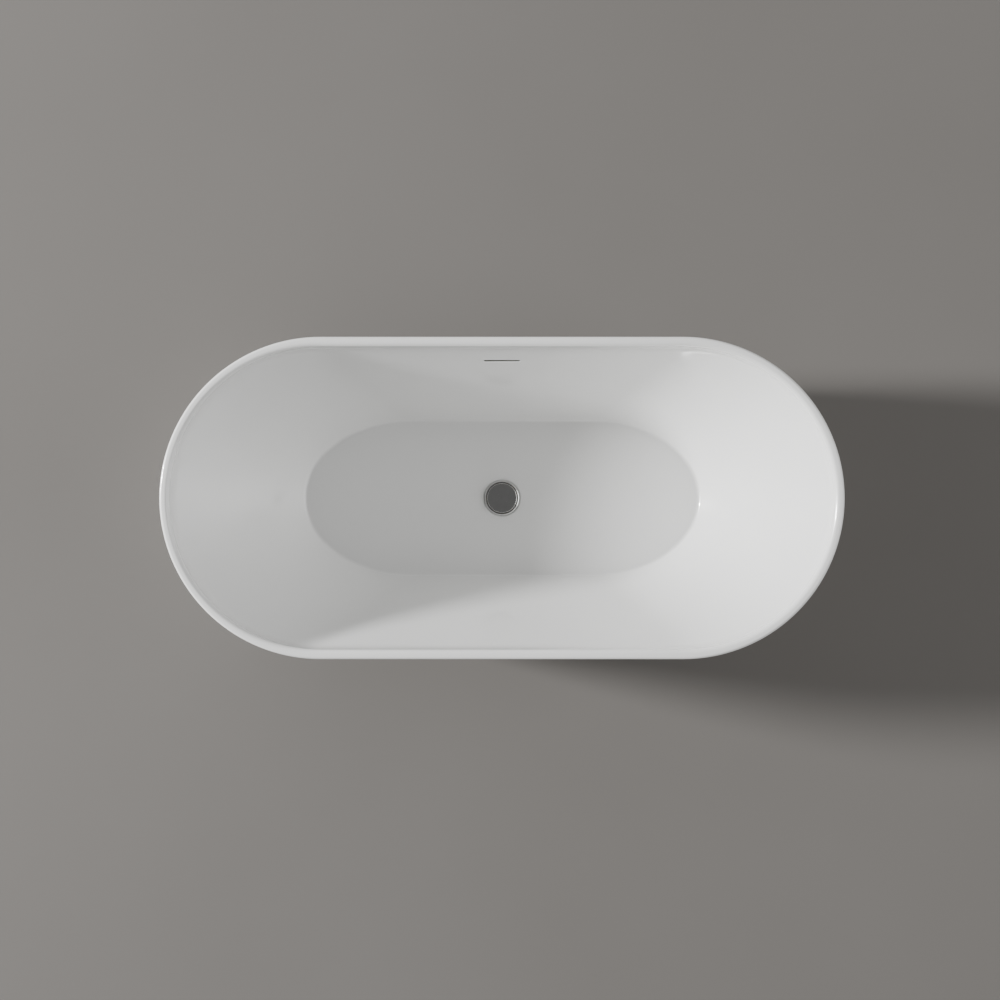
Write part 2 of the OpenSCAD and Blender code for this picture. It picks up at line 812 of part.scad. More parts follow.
// The way from the slot into the box, reaching out from the wall
module mouth(reach) {
    translate([-mouth_half_l, -eps, mouth_low])
        cube([2 * mouth_half_l, reach + eps, mouth_top - mouth_low]);
}

module overflow_gasket() {
    color("dimgray") on_back_wall() difference() {
        translate([-box_half_l, 0, box_low]) cube([2 * box_half_l, frame_t, box_top - box_low]);
        mouth(frame_t + eps);
    }
}

module overflow_box() {
    inner = box_half_l - box_wall;
    inner_y = frame_t + box_wall;
    slim_low = sump_top - box_wall - eps;
    sump_h = sump_top - sump_bottom;
    color("whitesmoke") on_back_wall() difference() {
        union() {
            translate([-ear_half_l, frame_t, box_low]) cube([2 * ear_half_l, box_wall, box_top - box_low]);
            translate([-box_half_l, frame_t, box_low]) cube([2 * box_half_l, slim_d, box_top - box_low]);
            translate([-box_half_l, frame_t, sump_bottom]) cube([2 * box_half_l, sump_d, sump_h]);
            translate([0, hose_n, sump_bottom - barb_l]) rotate([180, 0, 0]) barb(1);
        }
        mouth(inner_y + eps);
        translate([-inner, inner_y, slim_low])
            cube([2 * inner, slim_d - 2 * box_wall, box_top - box_wall - slim_low]);
        translate([-inner, inner_y, sump_bottom + box_wall])
            cube([2 * inner, sump_d - 2 * box_wall, sump_h - 2 * box_wall]);
        translate([0, hose_n, sump_bottom - barb_l - eps])
            cylinder(r = barb_bore_r, h = barb_l + box_wall + 1);
        for (side = [-1, 1]) translate([side * stud_x, 0, box_mid]) rotate([-90, 0, 0])
            cylinder(r = wall_stud_r + fit, h = inner_y + eps);
    }
}

module overflow_studs() {
    color("silver") on_back_wall() for (side = [-1, 1])
        translate([side * stud_x, 0, box_mid]) rotate([-90, 0, 0]) {
            cylinder(r = 6.5, h = 1.5);
            cylinder(r = wall_stud_r, h = 14);
        }
}

module overflow_nuts() {
    color("silver") on_back_wall() for (side = [-1, 1])
        translate([side * stud_x, frame_t + box_wall, box_mid]) rotate([-90, 0, 0]) {
            tube_ring(5.5, wall_stud_r + slip, 1);
            translate([0, 0, 1]) nut(4, wall_stud_r + slip, 4);
        }
}

// The hose hangs along the wall, bends, and runs level to the drain body's port
hose_top_y = slot_back_y + hose_n * cos(wall_tilt) + hose_top * sin(wall_tilt);
hose_top_z = slot_z - hose_n * sin(wall_tilt) + hose_top * cos(wall_tilt);
hose_turn = 90 - wall_tilt;
hose_tangent = hose_bend_r * tan(hose_turn / 2);
hose_drop_l = (hose_top_z - port_z) / cos(wall_tilt) - hose_tangent;
hose_bend_y = hose_top_y - (hose_top_z - port_z) * tan(wall_tilt) - hose_tangent;
hose_end_y = body_r + 4;
hose_cuff_l = 8;
hose_cuff_t = 1;
hose_groove = 0.4;

// Puts children at the hose's bend, with X pointing at the back wall and Y up
module at_hose_bend() {
    translate([0, hose_bend_y, port_z + hose_bend_r]) rotate([90, 0, 90]) children();
}

// Turns X towards the start of the hose's upper length
module at_upper_length() {
    rotate([0, 0, hose_turn - 90]) translate([hose_bend_r, 0, 0]) rotate([-90, 0, 0]) children();
}

module at_lower_length() {
    translate([0, -hose_bend_r, 0]) rotate([0, -90, 0]) children();
}

// The whole run of the hose as a solid rod, each end grown by past
module hose_rod(r, past) {
    at_hose_bend() {
        rotate([0, 0, -90]) rotate_extrude(angle = hose_turn) translate([hose_bend_r, 0]) circle(r);
        at_upper_length() cylinder(r = r, h = hose_drop_l + past);
        at_lower_length() cylinder(r = r, h = hose_bend_y - hose_end_y + past);
    }
}

module overflow_hose() {
    bore_r = hose_r - hose_t;
    color("gray") difference() {
        union() {
            hose_rod(hose_r, 0);
            at_hose_bend() {
                at_upper_length() cylinder(r = hose_r + hose_cuff_t, h = hose_cuff_l, center = true);
                at_lower_length() cylinder(r = hose_r + hose_cuff_t, h = hose_cuff_l, center = true);
            }
        }
        hose_rod(bore_r, eps);
        at_hose_bend() {
            at_upper_length() sphere(bore_r + hose_groove);
            at_lower_length() sphere(bore_r + hose_groove);
        }
    }
}

clamp_w = 9;
clamp_t = 1;
clamp_r = hose_r + slip;
clamp_screw_r = 2.5;
clamp_screw_play = 0.2;
clamp_screw_l = 14;

// A worm clamp round Z, its screw housing towards local Y
module hose_clamp() {
    difference() {
        union() {
            cylinder(r = clamp_r + clamp_t, h = clamp_w);
            translate([-6, clamp_r, 0]) cube([12, clamp_t + 7, clamp_w]);
        }
        translate([0, 0, -eps]) cylinder(r = clamp_r, h = clamp_w + 2 * eps);
        clamp_screw_place()
            cylinder(r = clamp_screw_r + clamp_screw_play, h = clamp_screw_l, center = true);
    }
}

module clamp_screw_place() {
    translate([0, clamp_r + clamp_t + 3.6, clamp_w / 2]) rotate([0, 90, 0]) children();
}

module clamp_screw() {
    clamp_screw_place() {
        cylinder(r = clamp_screw_r, h = clamp_screw_l, center = true);
        translate([0, 0, clamp_screw_l / 2]) hexagon(3.5, 4);
    }
}

module at_upper_clamp() {
    on_back_wall() translate([0, hose_n, hose_top - 6 - clamp_w]) children();
}

module at_lower_clamp() {
    translate([0, hose_end_y + 6, port_z]) rotate([-90, 0, 0]) children();
}

module hose_clamp_upper() {
    color("silver") at_upper_clamp() hose_clamp();
}

module hose_clamp_lower() {
    color("silver") at_lower_clamp() hose_clamp();
}

module hose_clamp_screws() {
    color("silver") {
        at_upper_clamp() clamp_screw();
        at_lower_clamp() clamp_screw();
    }
}

// ---------- nodes ----------

basin_shell();
outer_skirt();
rim_bond_bead();
skirt_base_ring();
floor_board();
long_rail(-1);  // long_rail_front
long_rail(1);  // long_rail_back
cross_rail(-1);  // cross_rail_left
cross_rail(1);  // cross_rail_right
inner_cross_rail(-1);  // inner_cross_rail_left
inner_cross_rail(1);  // inner_cross_rail_right
rail_end_plugs();
rail_board_screws();
skirt_bracket(1);  // skirt_bracket_1
skirt_bracket(2);  // skirt_bracket_2
skirt_bracket(3);  // skirt_bracket_3
skirt_bracket(4);  // skirt_bracket_4
bracket_rail_bolts();
bracket_ring_screws();
foot_weld_nuts();
foot_lock_nuts();
foot_stud(1);  // foot_stud_1
foot_stud(2);  // foot_stud_2
foot_stud(3);  // foot_stud_3
foot_stud(4);  // foot_stud_4
foot_pad(1);  // foot_pad_1
foot_pad(2);  // foot_pad_2
foot_pad(3);  // foot_pad_3
foot_pad(4);  // foot_pad_4
foot_sole(1);  // foot_sole_1
foot_sole(2);  // foot_sole_2
foot_sole(3);  // foot_sole_3
foot_sole(4);  // foot_sole_4
drain_flange();
flange_seal();
body_gasket();
drain_body();
cartridge_body();
click_spring();
index_ring();
cap_stem();
cap_seal();
drain_cap();
tail_pipe();
tail_washer();
tail_nut();
overflow_gasket();
overflow_box();
overflow_studs();
overflow_nuts();
overflow_hose();
hose_clamp_upper();
hose_clamp_lower();
hose_clamp_screws();
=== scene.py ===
"""The looks of a freestanding double-shell bathtub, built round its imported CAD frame.

Sizes in the classes are millimetres; every mesh is put into the scene in metres.
+X runs along the tub, +Y points at the overflow side and +Z is up from the floor.
"""

import logging
import math
from dataclasses import dataclass, field
from enum import Enum

import bpy
import numpy as np
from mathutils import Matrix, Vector


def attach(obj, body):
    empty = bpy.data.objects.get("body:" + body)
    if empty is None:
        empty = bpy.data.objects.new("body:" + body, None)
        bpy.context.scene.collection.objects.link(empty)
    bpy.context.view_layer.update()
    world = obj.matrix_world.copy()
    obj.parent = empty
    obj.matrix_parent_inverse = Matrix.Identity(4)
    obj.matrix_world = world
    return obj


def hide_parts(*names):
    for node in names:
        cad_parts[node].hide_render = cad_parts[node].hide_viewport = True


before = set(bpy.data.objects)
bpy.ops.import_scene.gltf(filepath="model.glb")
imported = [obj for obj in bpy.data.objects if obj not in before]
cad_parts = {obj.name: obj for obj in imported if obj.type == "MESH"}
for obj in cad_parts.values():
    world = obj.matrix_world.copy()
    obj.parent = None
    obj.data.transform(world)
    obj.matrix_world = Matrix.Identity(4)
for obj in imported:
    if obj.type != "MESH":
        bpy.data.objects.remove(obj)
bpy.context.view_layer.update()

MM = 0.001
TURN = 2 * math.pi
LOG = logging.getLogger("bathtub")

Grid = np.ndarray
Colour = tuple[float, float, float]


# ---------- surfaces ----------


class Body(Enum):
    """The CAD bodies that pieces ride on."""

    TUB = "tub"
    CAP = "cap"

    @staticmethod
    def pad(corner: int) -> str:
        """The body of one foot's pad."""
        return f"pad_{corner}"

    @staticmethod
    def stud(corner: int) -> str:
        """The body of one foot's stud."""
        return f"stud_{corner}"


def spread(*stretches: tuple[float, float, int]) -> Grid:
    """Joins evenly spaced stretches of numbers into one rising or falling row.

    Args:
        stretches: the first number, the last number and the steps of each stretch.

    Returns:
        The numbers, with the one that two stretches share given once.
    """
    parts = [np.linspace(a, b, n + 1) for a, b, n in stretches]
    return np.concatenate([parts[0]] + [p[1:] for p in parts[1:]])


def quarter(steps: int) -> Grid:
    """Angles from 0 to a quarter turn, in radians."""
    return np.linspace(0, math.pi / 2, steps + 1)


@dataclass
class Surface:
    """Corners and faces gathered for one mesh."""

    corners: list[Grid] = field(default_factory=list)
    quads: list[Grid] = field(default_factory=list)
    fans: list[Grid] = field(default_factory=list)
    count: int = 0

    def add_points(self, points: Grid) -> Grid:
        """Adds points of any grid shape.

        Args:
            points: an array whose last axis is x, y, z in millimetres.

        Returns:
            The new corners' numbers, in the grid's shape.
        """
        flat = points.reshape(-1, 3)
        numbers = np.arange(self.count, self.count + len(flat)).reshape(points.shape[:-1])
        self.corners.append(flat)
        self.count += len(flat)
        return numbers

    def join(self, numbers: Grid, round_rows: bool = False, round_columns: bool = True) -> None:
        """Fills a grid of corner numbers with four-sided faces.

        A face's corners run along a row, then on to the next row, so it points outwards where the
        rows run anticlockwise and climb.

        Args:
            numbers: corner numbers, rows by columns.
            round_rows: join the last row to the first.
            round_columns: join the last column to the first.
        """
        grid = numbers
        if round_rows:
            grid = np.vstack([grid, grid[:1]])
        if round_columns:
            grid = np.hstack([grid, grid[:, :1]])
        faces = np.stack([grid[:-1, :-1], grid[:-1, 1:], grid[1:, 1:], grid[1:, :-1]], axis=-1)
        self.quads.append(faces.reshape(-1, 4))

    def cap(self, ring: Grid, upwards: bool) -> None:
        """Closes a ring of corner numbers with a fan to its middle.

        Args:
            ring: corner numbers, anticlockwise seen from above.
            upwards: whether the closing faces look up the axis.
        """
        middle = np.vstack(self.corners)[ring].mean(axis=0)
        centre = self.add_points(middle[None, :])[0]
        after = np.roll(ring, -1)
        first, second = (ring, after) if upwards else (after, ring)
        self.fans.append(np.stack([first, second, np.full_like(ring, centre)], axis=-1))

    def piece(self, name: str, crease_deg: float = 40.0) -> bpy.types.Object:
        """Puts the surface into the scene as a mesh object.

        Args:
            name: the object's name.
            crease_deg: edges that bend more than this stay sharp.

        Returns:
            The new object, at the origin.
        """
        mesh = bpy.data.meshes.new(name)
        points = np.vstack(self.corners) * MM
        faces = [row for block in self.quads + self.fans for row in block.tolist()]
        mesh.from_pydata(points.tolist(), [], faces)
        mesh.validate()
        mesh.shade_smooth()
        mesh.set_sharp_from_angle(angle=math.radians(crease_deg))
        made = bpy.data.objects.new(name, mesh)
        bpy.context.scene.collection.objects.link(made)
        return made


def turned(profile: Grid, columns: int, flute: float = 0.0, flutes: int = 0) -> Grid:
    """A profile of radius and height carried round the Z axis.

    A point is (r cos t, r sin t, z), with r cut by flute times (1 + cos(flutes t)) / 2 where asked.

    Args:
        profile: rows of radius and height.
        columns: points round the turn.
        flute: depth of the flutes.
        flutes: how many flutes.

    Returns:
        A grid of points, one row for each profile point.
    """
    t = np.arange(columns) * TURN / columns
    cut = 1 - flute * (1 + np.cos(flutes * t)) / 2 if flutes else np.ones(columns)
    r, z = profile[:, :1] * cut, profile[:, 1:]
    return np.stack([r * np.cos(t), r * np.sin(t), z + 0 * t], axis=-1)


def rounded(points: list[tuple[float, float]], radius: float, steps: int = 4) -> Grid:
    """A closed outline with its corners rounded.

    Each corner becomes the curve (1-t)^2 a + 2t(1-t) b + t^2 c, where b is the corner and a and c
    lie on its two sides, at most radius away and never past a side's middle.

    Args:
        points: the outline's corners.
        radius: how far from a corner its rounding starts.
        steps: straight pieces in each rounding.

    Returns:
        The rounded outline's points.
    """
    here = np.array(points, float)
    before, after = np.roll(here, 1, axis=0), np.roll(here, -1, axis=0)
    back, on = before - here, after - here
    back_l = np.linalg.norm(back, axis=1, keepdims=True)
    on_l = np.linalg.norm(on, axis=1, keepdims=True)
    a = here + back / back_l * np.minimum(radius, back_l * 0.49)
    c = here + on / on_l * np.minimum(radius, on_l * 0.49)
    t = np.linspace(0, 1, steps + 1)[None, :, None]
    curve = (1 - t) ** 2 * a[:, None] + 2 * t * (1 - t) * here[:, None] + t**2 * c[:, None]
    return curve.reshape(-1, 2)


def along_path(path: Grid, section: Grid, side: Grid) -> Grid:
    """A closed section carried along a path.

    At each path point the section's x lies along side and its y along the cross product of the
    path's direction and side.

    Args:
        path: points, one row each.
        section: rows of x and y, either one section or one for each path point.
        side: a direction for each path point, square to the path.

    Returns:
        A grid of points, one row for each path point.
    """
    ahead = np.gradient(path, axis=0)
    ahead /= np.linalg.norm(ahead, axis=1, keepdims=True)
    up = np.cross(ahead, side)
    flat = np.broadcast_to(section, (len(path),) + section.shape[-2:])
    return path[:, None] + flat[..., :1] * side[:, None] + flat[..., 1:] * up[:, None]


def circle_section(radius: Grid | float, columns: int) -> Grid:
    """A round section, or one for each radius given."""
    t = np.arange(columns) * TURN / columns
    unit = np.stack([np.cos(t), np.sin(t)], axis=-1)
    return np.asarray(radius, float)[..., None, None] * unit


# ---------- finishes ----------


class NodeTree:
    """A short way to add and link shader nodes."""

    def __init__(self, tree: bpy.types.NodeTree) -> None:
        """Keeps the tree that nodes are added to."""
        self.tree = tree

    def add(self, kind: str, settings: dict | None = None, **inputs: object) -> bpy.types.Node:
        """Adds a node.

        Args:
            kind: the node's type name.
            settings: properties to set on the node.
            inputs: a value or a socket for each input, with spaces written as underscores.

        Returns:
            The new node.
        """
        node = self.tree.nodes.new(kind)
        for key, value in (settings or {}).items():
            setattr(node, key, value)
        for key, value in inputs.items():
            self.feed(node, key.replace("_", " "), value)
        return node

    def feed(self, node: bpy.types.Node, name: str | int, value: object) -> None:
        """Links a socket to an input, or sets the input's value.

        Args:
            node: the node that takes it.
            name: the input's name or number.
            value: a socket, a number or a colour.
        """
        socket = node.inputs[name]
        if isinstance(value, bpy.types.NodeSocket):
            self.tree.links.new(value, socket)
        else:
            socket.default_value = value

    def mix(self, factor: object, a: object, b: object) -> bpy.types.NodeSocket:
        """Mixes two colours.

        Args:
            factor: a number or a socket, 0 for all a.
            a: the first colour.
            b: the second colour.

        Returns:
            The mixed colour's socket.
        """
        node = self.tree.nodes.new("ShaderNodeMix")
        node.data_type = "RGBA"
        for number, value in ((0, factor), (6, a), (7, b)):
            self.feed(node, number, value)
        return node.outputs[2]

    def sum(self, kind: str, a: object, b: object = 0.0, clamp: bool = False) -> bpy.types.NodeSocket:
        """Does a sum on two numbers.

        Args:
            kind: the math node's operation.
            a: the first number or socket.
            b: the second number or socket.
            clamp: hold the answer between 0 and 1.

        Returns:
            The answer's socket.
        """
        node = self.tree.nodes.new("ShaderNodeMath")
        node.operation = kind
        node.use_clamp = clamp
        self.feed(node, 0, a)
        self.feed(node, 1, b)
        return node.outputs[0]

    def step(self, value: object, low: float, high: float) -> bpy.types.NodeSocket:
        """Turns the stretch from low to high into 0 to 1, smoothly."""
        node = self.tree.nodes.new("ShaderNodeMapRange")
        node.interpolation_type = "SMOOTHSTEP"
        self.feed(node, 0, value)
        self.feed(node, 1, low)
        self.feed(node, 2, high)
        return node.outputs[0]


def group(name: str, inputs: dict[str, tuple[str, object]], outputs: dict[str, str]) -> tuple:
    """Starts a node group with named sockets.

    Args:
        name: the group's name.
        inputs: each input's name, with its socket type and starting value.
        outputs: each output's name, with its socket type.

    Returns:
        The group, its node tree, its input node and its output node.
    """
    made = bpy.data.node_groups.new(name, "ShaderNodeTree")
    for label, (kind, start) in inputs.items():
        socket = made.interface.new_socket(label, in_out="INPUT", socket_type=kind)
        if start is not None:
            socket.default_value = start
    for label, kind in outputs.items():
        made.interface.new_socket(label, in_out="OUTPUT", socket_type=kind)
    tree = NodeTree(made)
    return made, tree, tree.add("NodeGroupInput"), tree.add("NodeGroupOutput")


FLOAT, COLOUR, VECTOR = "NodeSocketFloat", "NodeSocketColor", "NodeSocketVector"


class Effects:
    """The node groups that several finishes share, each built once."""

    _made: dict[str, bpy.types.NodeTree] = {}

    @classmethod
    def get(cls, name: str) -> bpy.types.NodeTree:
        """Gives a shared group, building it at its first use."""
        if name not in cls._made:
            cls._made[name] = getattr(cls, "_" + name)()
        return cls._made[name]

    @staticmethod
    def _mottle() -> bpy.types.NodeTree:
        """Slow drifts of colour and roughness, from two sizes of noise.

        Returns:
            The group.
        """
        made, tree, given, out = group(
            "mottle",
            {
                "Vector": (VECTOR, None),
                "Scale": (FLOAT, 10.0),
                "Colour": (COLOUR, (0.8, 0.8, 0.8, 1)),
                "Other Colour": (COLOUR, (0.7, 0.7, 0.7, 1)),
                "Roughness": (FLOAT, 0.3),
                "Roughness Drift": (FLOAT, 0.05),
            },
            {"Colour": COLOUR, "Roughness": FLOAT},
        )
        sockets = given.outputs
        large = tree.add("ShaderNodeTexNoise", Vector=sockets["Vector"], Scale=sockets["Scale"], Detail=4.0)
        fine_scale = tree.sum("MULTIPLY", sockets["Scale"], 7.3)
        fine = tree.add("ShaderNodeTexNoise", Vector=sockets["Vector"], Scale=fine_scale, Detail=3.0)
        factor = tree.step(large.outputs["Fac"], 0.3, 0.7)
        tree.feed(out, "Colour", tree.mix(factor, sockets["Colour"], sockets["Other Colour"]))
        drift = tree.sum("SUBTRACT", fine.outputs["Fac"], 0.5)
        drift = tree.sum("MULTIPLY", drift, sockets["Roughness Drift"])
        drift = tree.sum("ADD", tree.sum("MULTIPLY", drift, 2.0), sockets["Roughness"])
        tree.feed(out, "Roughness", drift)
        return made

    @staticmethod
    def _grain() -> bpy.types.NodeTree:
        """A fine height made of noise stretched along one axis.

        Returns:
            The group.
        """
        made, tree, given, out = group(
            "grain",
            {
                "Vector": (VECTOR, None), "Stretch": (VECTOR, (1, 1, 1)),
                "Scale": (FLOAT, 100.0), "Detail": (FLOAT, 3.0),
            },
            {"Height": FLOAT},
        )
        sockets = given.outputs
        placed = tree.add("ShaderNodeVectorMath", {"operation": "MULTIPLY"})
        tree.feed(placed, 0, sockets["Vector"])
        tree.feed(placed, 1, sockets["Stretch"])
        noise = tree.add(
            "ShaderNodeTexNoise", Vector=placed.outputs[0], Scale=sockets["Scale"], Detail=sockets["Detail"]
        )
        tree.feed(out, "Height", noise.outputs["Fac"])
        return made

    @staticmethod
    def _chopped_strand() -> bpy.types.NodeTree:
        """Chopped glass strand under resin: crossed streaks, as a mask and a height.

        Returns:
            The group.
        """
        made, tree, given, out = group(
            "chopped_strand",
            {"Vector": (VECTOR, None), "Scale": (FLOAT, 60.0)},
            {"Mask": FLOAT, "Height": FLOAT},
        )
        sockets = given.outputs
        total: object = 0.0
        for turn, stretch in ((0.4, 9.0), (1.5, 8.0), (2.6, 10.0)):
            spun = tree.add("ShaderNodeVectorRotate", {"rotation_type": "EULER_XYZ"})
            tree.feed(spun, "Vector", sockets["Vector"])
            tree.feed(spun, "Rotation", (turn, turn * 0.7, turn * 1.3))
            thin = tree.add("ShaderNodeVectorMath", {"operation": "MULTIPLY"})
            tree.feed(thin, 0, spun.outputs[0])
            tree.feed(thin, 1, (1.0, stretch, stretch))
            streak = tree.add(
                "ShaderNodeTexNoise", Vector=thin.outputs[0], Scale=sockets["Scale"], Detail=1.0
            )
            total = tree.sum("MAXIMUM", total, tree.step(streak.outputs["Fac"], 0.5, 0.68))
        tree.feed(out, "Mask", total)
        tree.feed(out, "Height", total)
        return made


@dataclass(frozen=True)
class Finish:
    """One material: a mottled colour over a fine grain.

    Colours are linear. The mottle and grain are in cycles to the metre.
    """

    name: str
    colour: Colour
    other: Colour
    roughness: float
    drift: float = 0.04
    metallic: float = 0.0
    coat: float = 0.0
    coat_roughness: float = 0.05
    specular: float = 0.5
    mottle_scale: float = 8.0
    grain_scale: float = 300.0
    grain_stretch: Colour = (1.0, 1.0, 1.0)
    grain_depth: float = 0.0001
    grain_strength: float = 0.3

    def start(self) -> tuple[bpy.types.Material, NodeTree, bpy.types.Node, bpy.types.Node]:
        """Builds the plain part of the material.

        Returns:
            The material, its node tree, the shader and the node that gives object coordinates.
        """
        made = bpy.data.materials.new(self.name)
        made.use_nodes = True
        made.node_tree.nodes.clear()
        tree = NodeTree(made.node_tree)
        out = tree.add("ShaderNodeOutputMaterial")
        shader = tree.add("ShaderNodeBsdfPrincipled")
        tree.feed(out, "Surface", shader.outputs[0])
        place = tree.add("ShaderNodeTexCoord")
        shader.inputs["Coat Weight"].default_value = self.coat
        shader.inputs["Coat Roughness"].default_value = self.coat_roughness
        shader.inputs["Specular IOR Level"].default_value = self.specular
        shader.inputs["Metallic"].default_value = self.metallic
        return made, tree, shader, place

    def mottle(self, tree: NodeTree, place: bpy.types.Node) -> bpy.types.Node:
        """Adds the drifting colour and roughness.

        Args:
            tree: the material's nodes.
            place: the node that gives object coordinates.

        Returns:
            The group's node.
        """
        drift = tree.add("ShaderNodeGroup", {"node_tree": Effects.get("mottle")})
        tree.feed(drift, "Vector", place.outputs["Object"])
        tree.feed(drift, "Scale", self.mottle_scale)
        tree.feed(drift, "Colour", (*self.colour, 1))
        tree.feed(drift, "Other Colour", (*self.other, 1))
        tree.feed(drift, "Roughness", self.roughness)
        tree.feed(drift, "Roughness Drift", self.drift)
        return drift

    def bump(
        self, tree: NodeTree, shader: bpy.types.Node, place: bpy.types.Node, extra: object = None
    ) -> None:
        """Feeds the shader's normal from the grain, with another height added where given.

        Args:
            tree: the material's nodes.
            shader: the node that takes the normal.
            place: the node that gives object coordinates.
            extra: a height to add to the grain's.
        """
        grain = tree.add("ShaderNodeGroup", {"node_tree": Effects.get("grain")})
        tree.feed(grain, "Vector", place.outputs["Object"])
        tree.feed(grain, "Stretch", self.grain_stretch)
        tree.feed(grain, "Scale", self.grain_scale)
        height = grain.outputs["Height"]
        if extra is not None:
            height = tree.sum("ADD", height, extra)
        bump = tree.add(
            "ShaderNodeBump", Height=height, Strength=self.grain_strength, Distance=self.grain_depth
        )
        tree.feed(shader, "Normal", bump.outputs[0])

    def material(self) -> bpy.types.Material:
        """Builds the whole material.

        Returns:
            The material.
        """
        made, tree, shader, place = self.start()
        drift = self.mottle(tree, place)
        tree.feed(shader, "Base Color", drift.outputs["Colour"])
        tree.feed(shader, "Roughness", drift.outputs["Roughness"])
        self.bump(tree, shader, place)
        return made


@dataclass(frozen=True)
class LaminateFinish(Finish):
    """Resin-rich glass-fibre backing with its strands showing."""

    strand_colour: Colour = (0.62, 0.60, 0.50)
    strand_scale: float = 26.0

    def material(self) -> bpy.types.Material:
        """Builds the whole material.

        Returns:
            The material.
        """
        made, tree, shader, place = self.start()
        drift = self.mottle(tree, place)
        strand = tree.add("ShaderNodeGroup", {"node_tree": Effects.get("chopped_strand")})
        tree.feed(strand, "Vector", place.outputs["Object"])
        tree.feed(strand, "Scale", self.strand_scale)
        share = tree.sum("MULTIPLY", strand.outputs["Mask"], 0.6)
        tree.feed(shader, "Base Color", tree.mix(share, drift.outputs["Colour"], (*self.strand_colour, 1)))
        tree.feed(shader, "Roughness", drift.outputs["Roughness"])
        self.bump(tree, shader, place, strand.outputs["Height"])
        return made


@dataclass(frozen=True)
class PlywoodFinish(Finish):
    """Plywood: long grain on its faces and stacked veneers on its edges."""

    veneer: float = 0.0015
    end_colour: Colour = (0.20, 0.11, 0.05)

    def material(self) -> bpy.types.Material:
        """Builds the whole material.

        The edge's colour changes with height, once for each veneer, and shows where the surface
        doesn't face up or down.

        Returns:
            The material.
        """
        made, tree, shader, place = self.start()
        drift = self.mottle(tree, place)
        long = tree.add("ShaderNodeGroup", {"node_tree": Effects.get("grain")})
        tree.feed(long, "Vector", place.outputs["Object"])
        tree.feed(long, "Stretch", (1.0, 22.0, 22.0))
        tree.feed(long, "Scale", 9.0)
        dark = tuple(0.62 * c for c in self.other)
        share = tree.step(long.outputs["Height"], 0.42, 0.68)
        face = tree.mix(share, drift.outputs["Colour"], (*dark, 1))
        apart = tree.add("ShaderNodeSeparateXYZ", Vector=place.outputs["Object"])
        layer = tree.sum("SINE", tree.sum("MULTIPLY", apart.outputs["Z"], math.pi / self.veneer))
        layer = tree.step(layer, -0.15, 0.15)
        edge = tree.mix(layer, (*self.end_colour, 1), face)
        normal = tree.add("ShaderNodeNewGeometry")
        lean = tree.add("ShaderNodeSeparateXYZ", Vector=normal.outputs["Normal"])
        upright = tree.sum("ABSOLUTE", lean.outputs["Z"])
        tree.feed(shader, "Base Color", tree.mix(tree.step(upright, 0.4, 0.6), edge, face))
        tree.feed(shader, "Roughness", drift.outputs["Roughness"])
        self.bump(tree, shader, place)
        return made


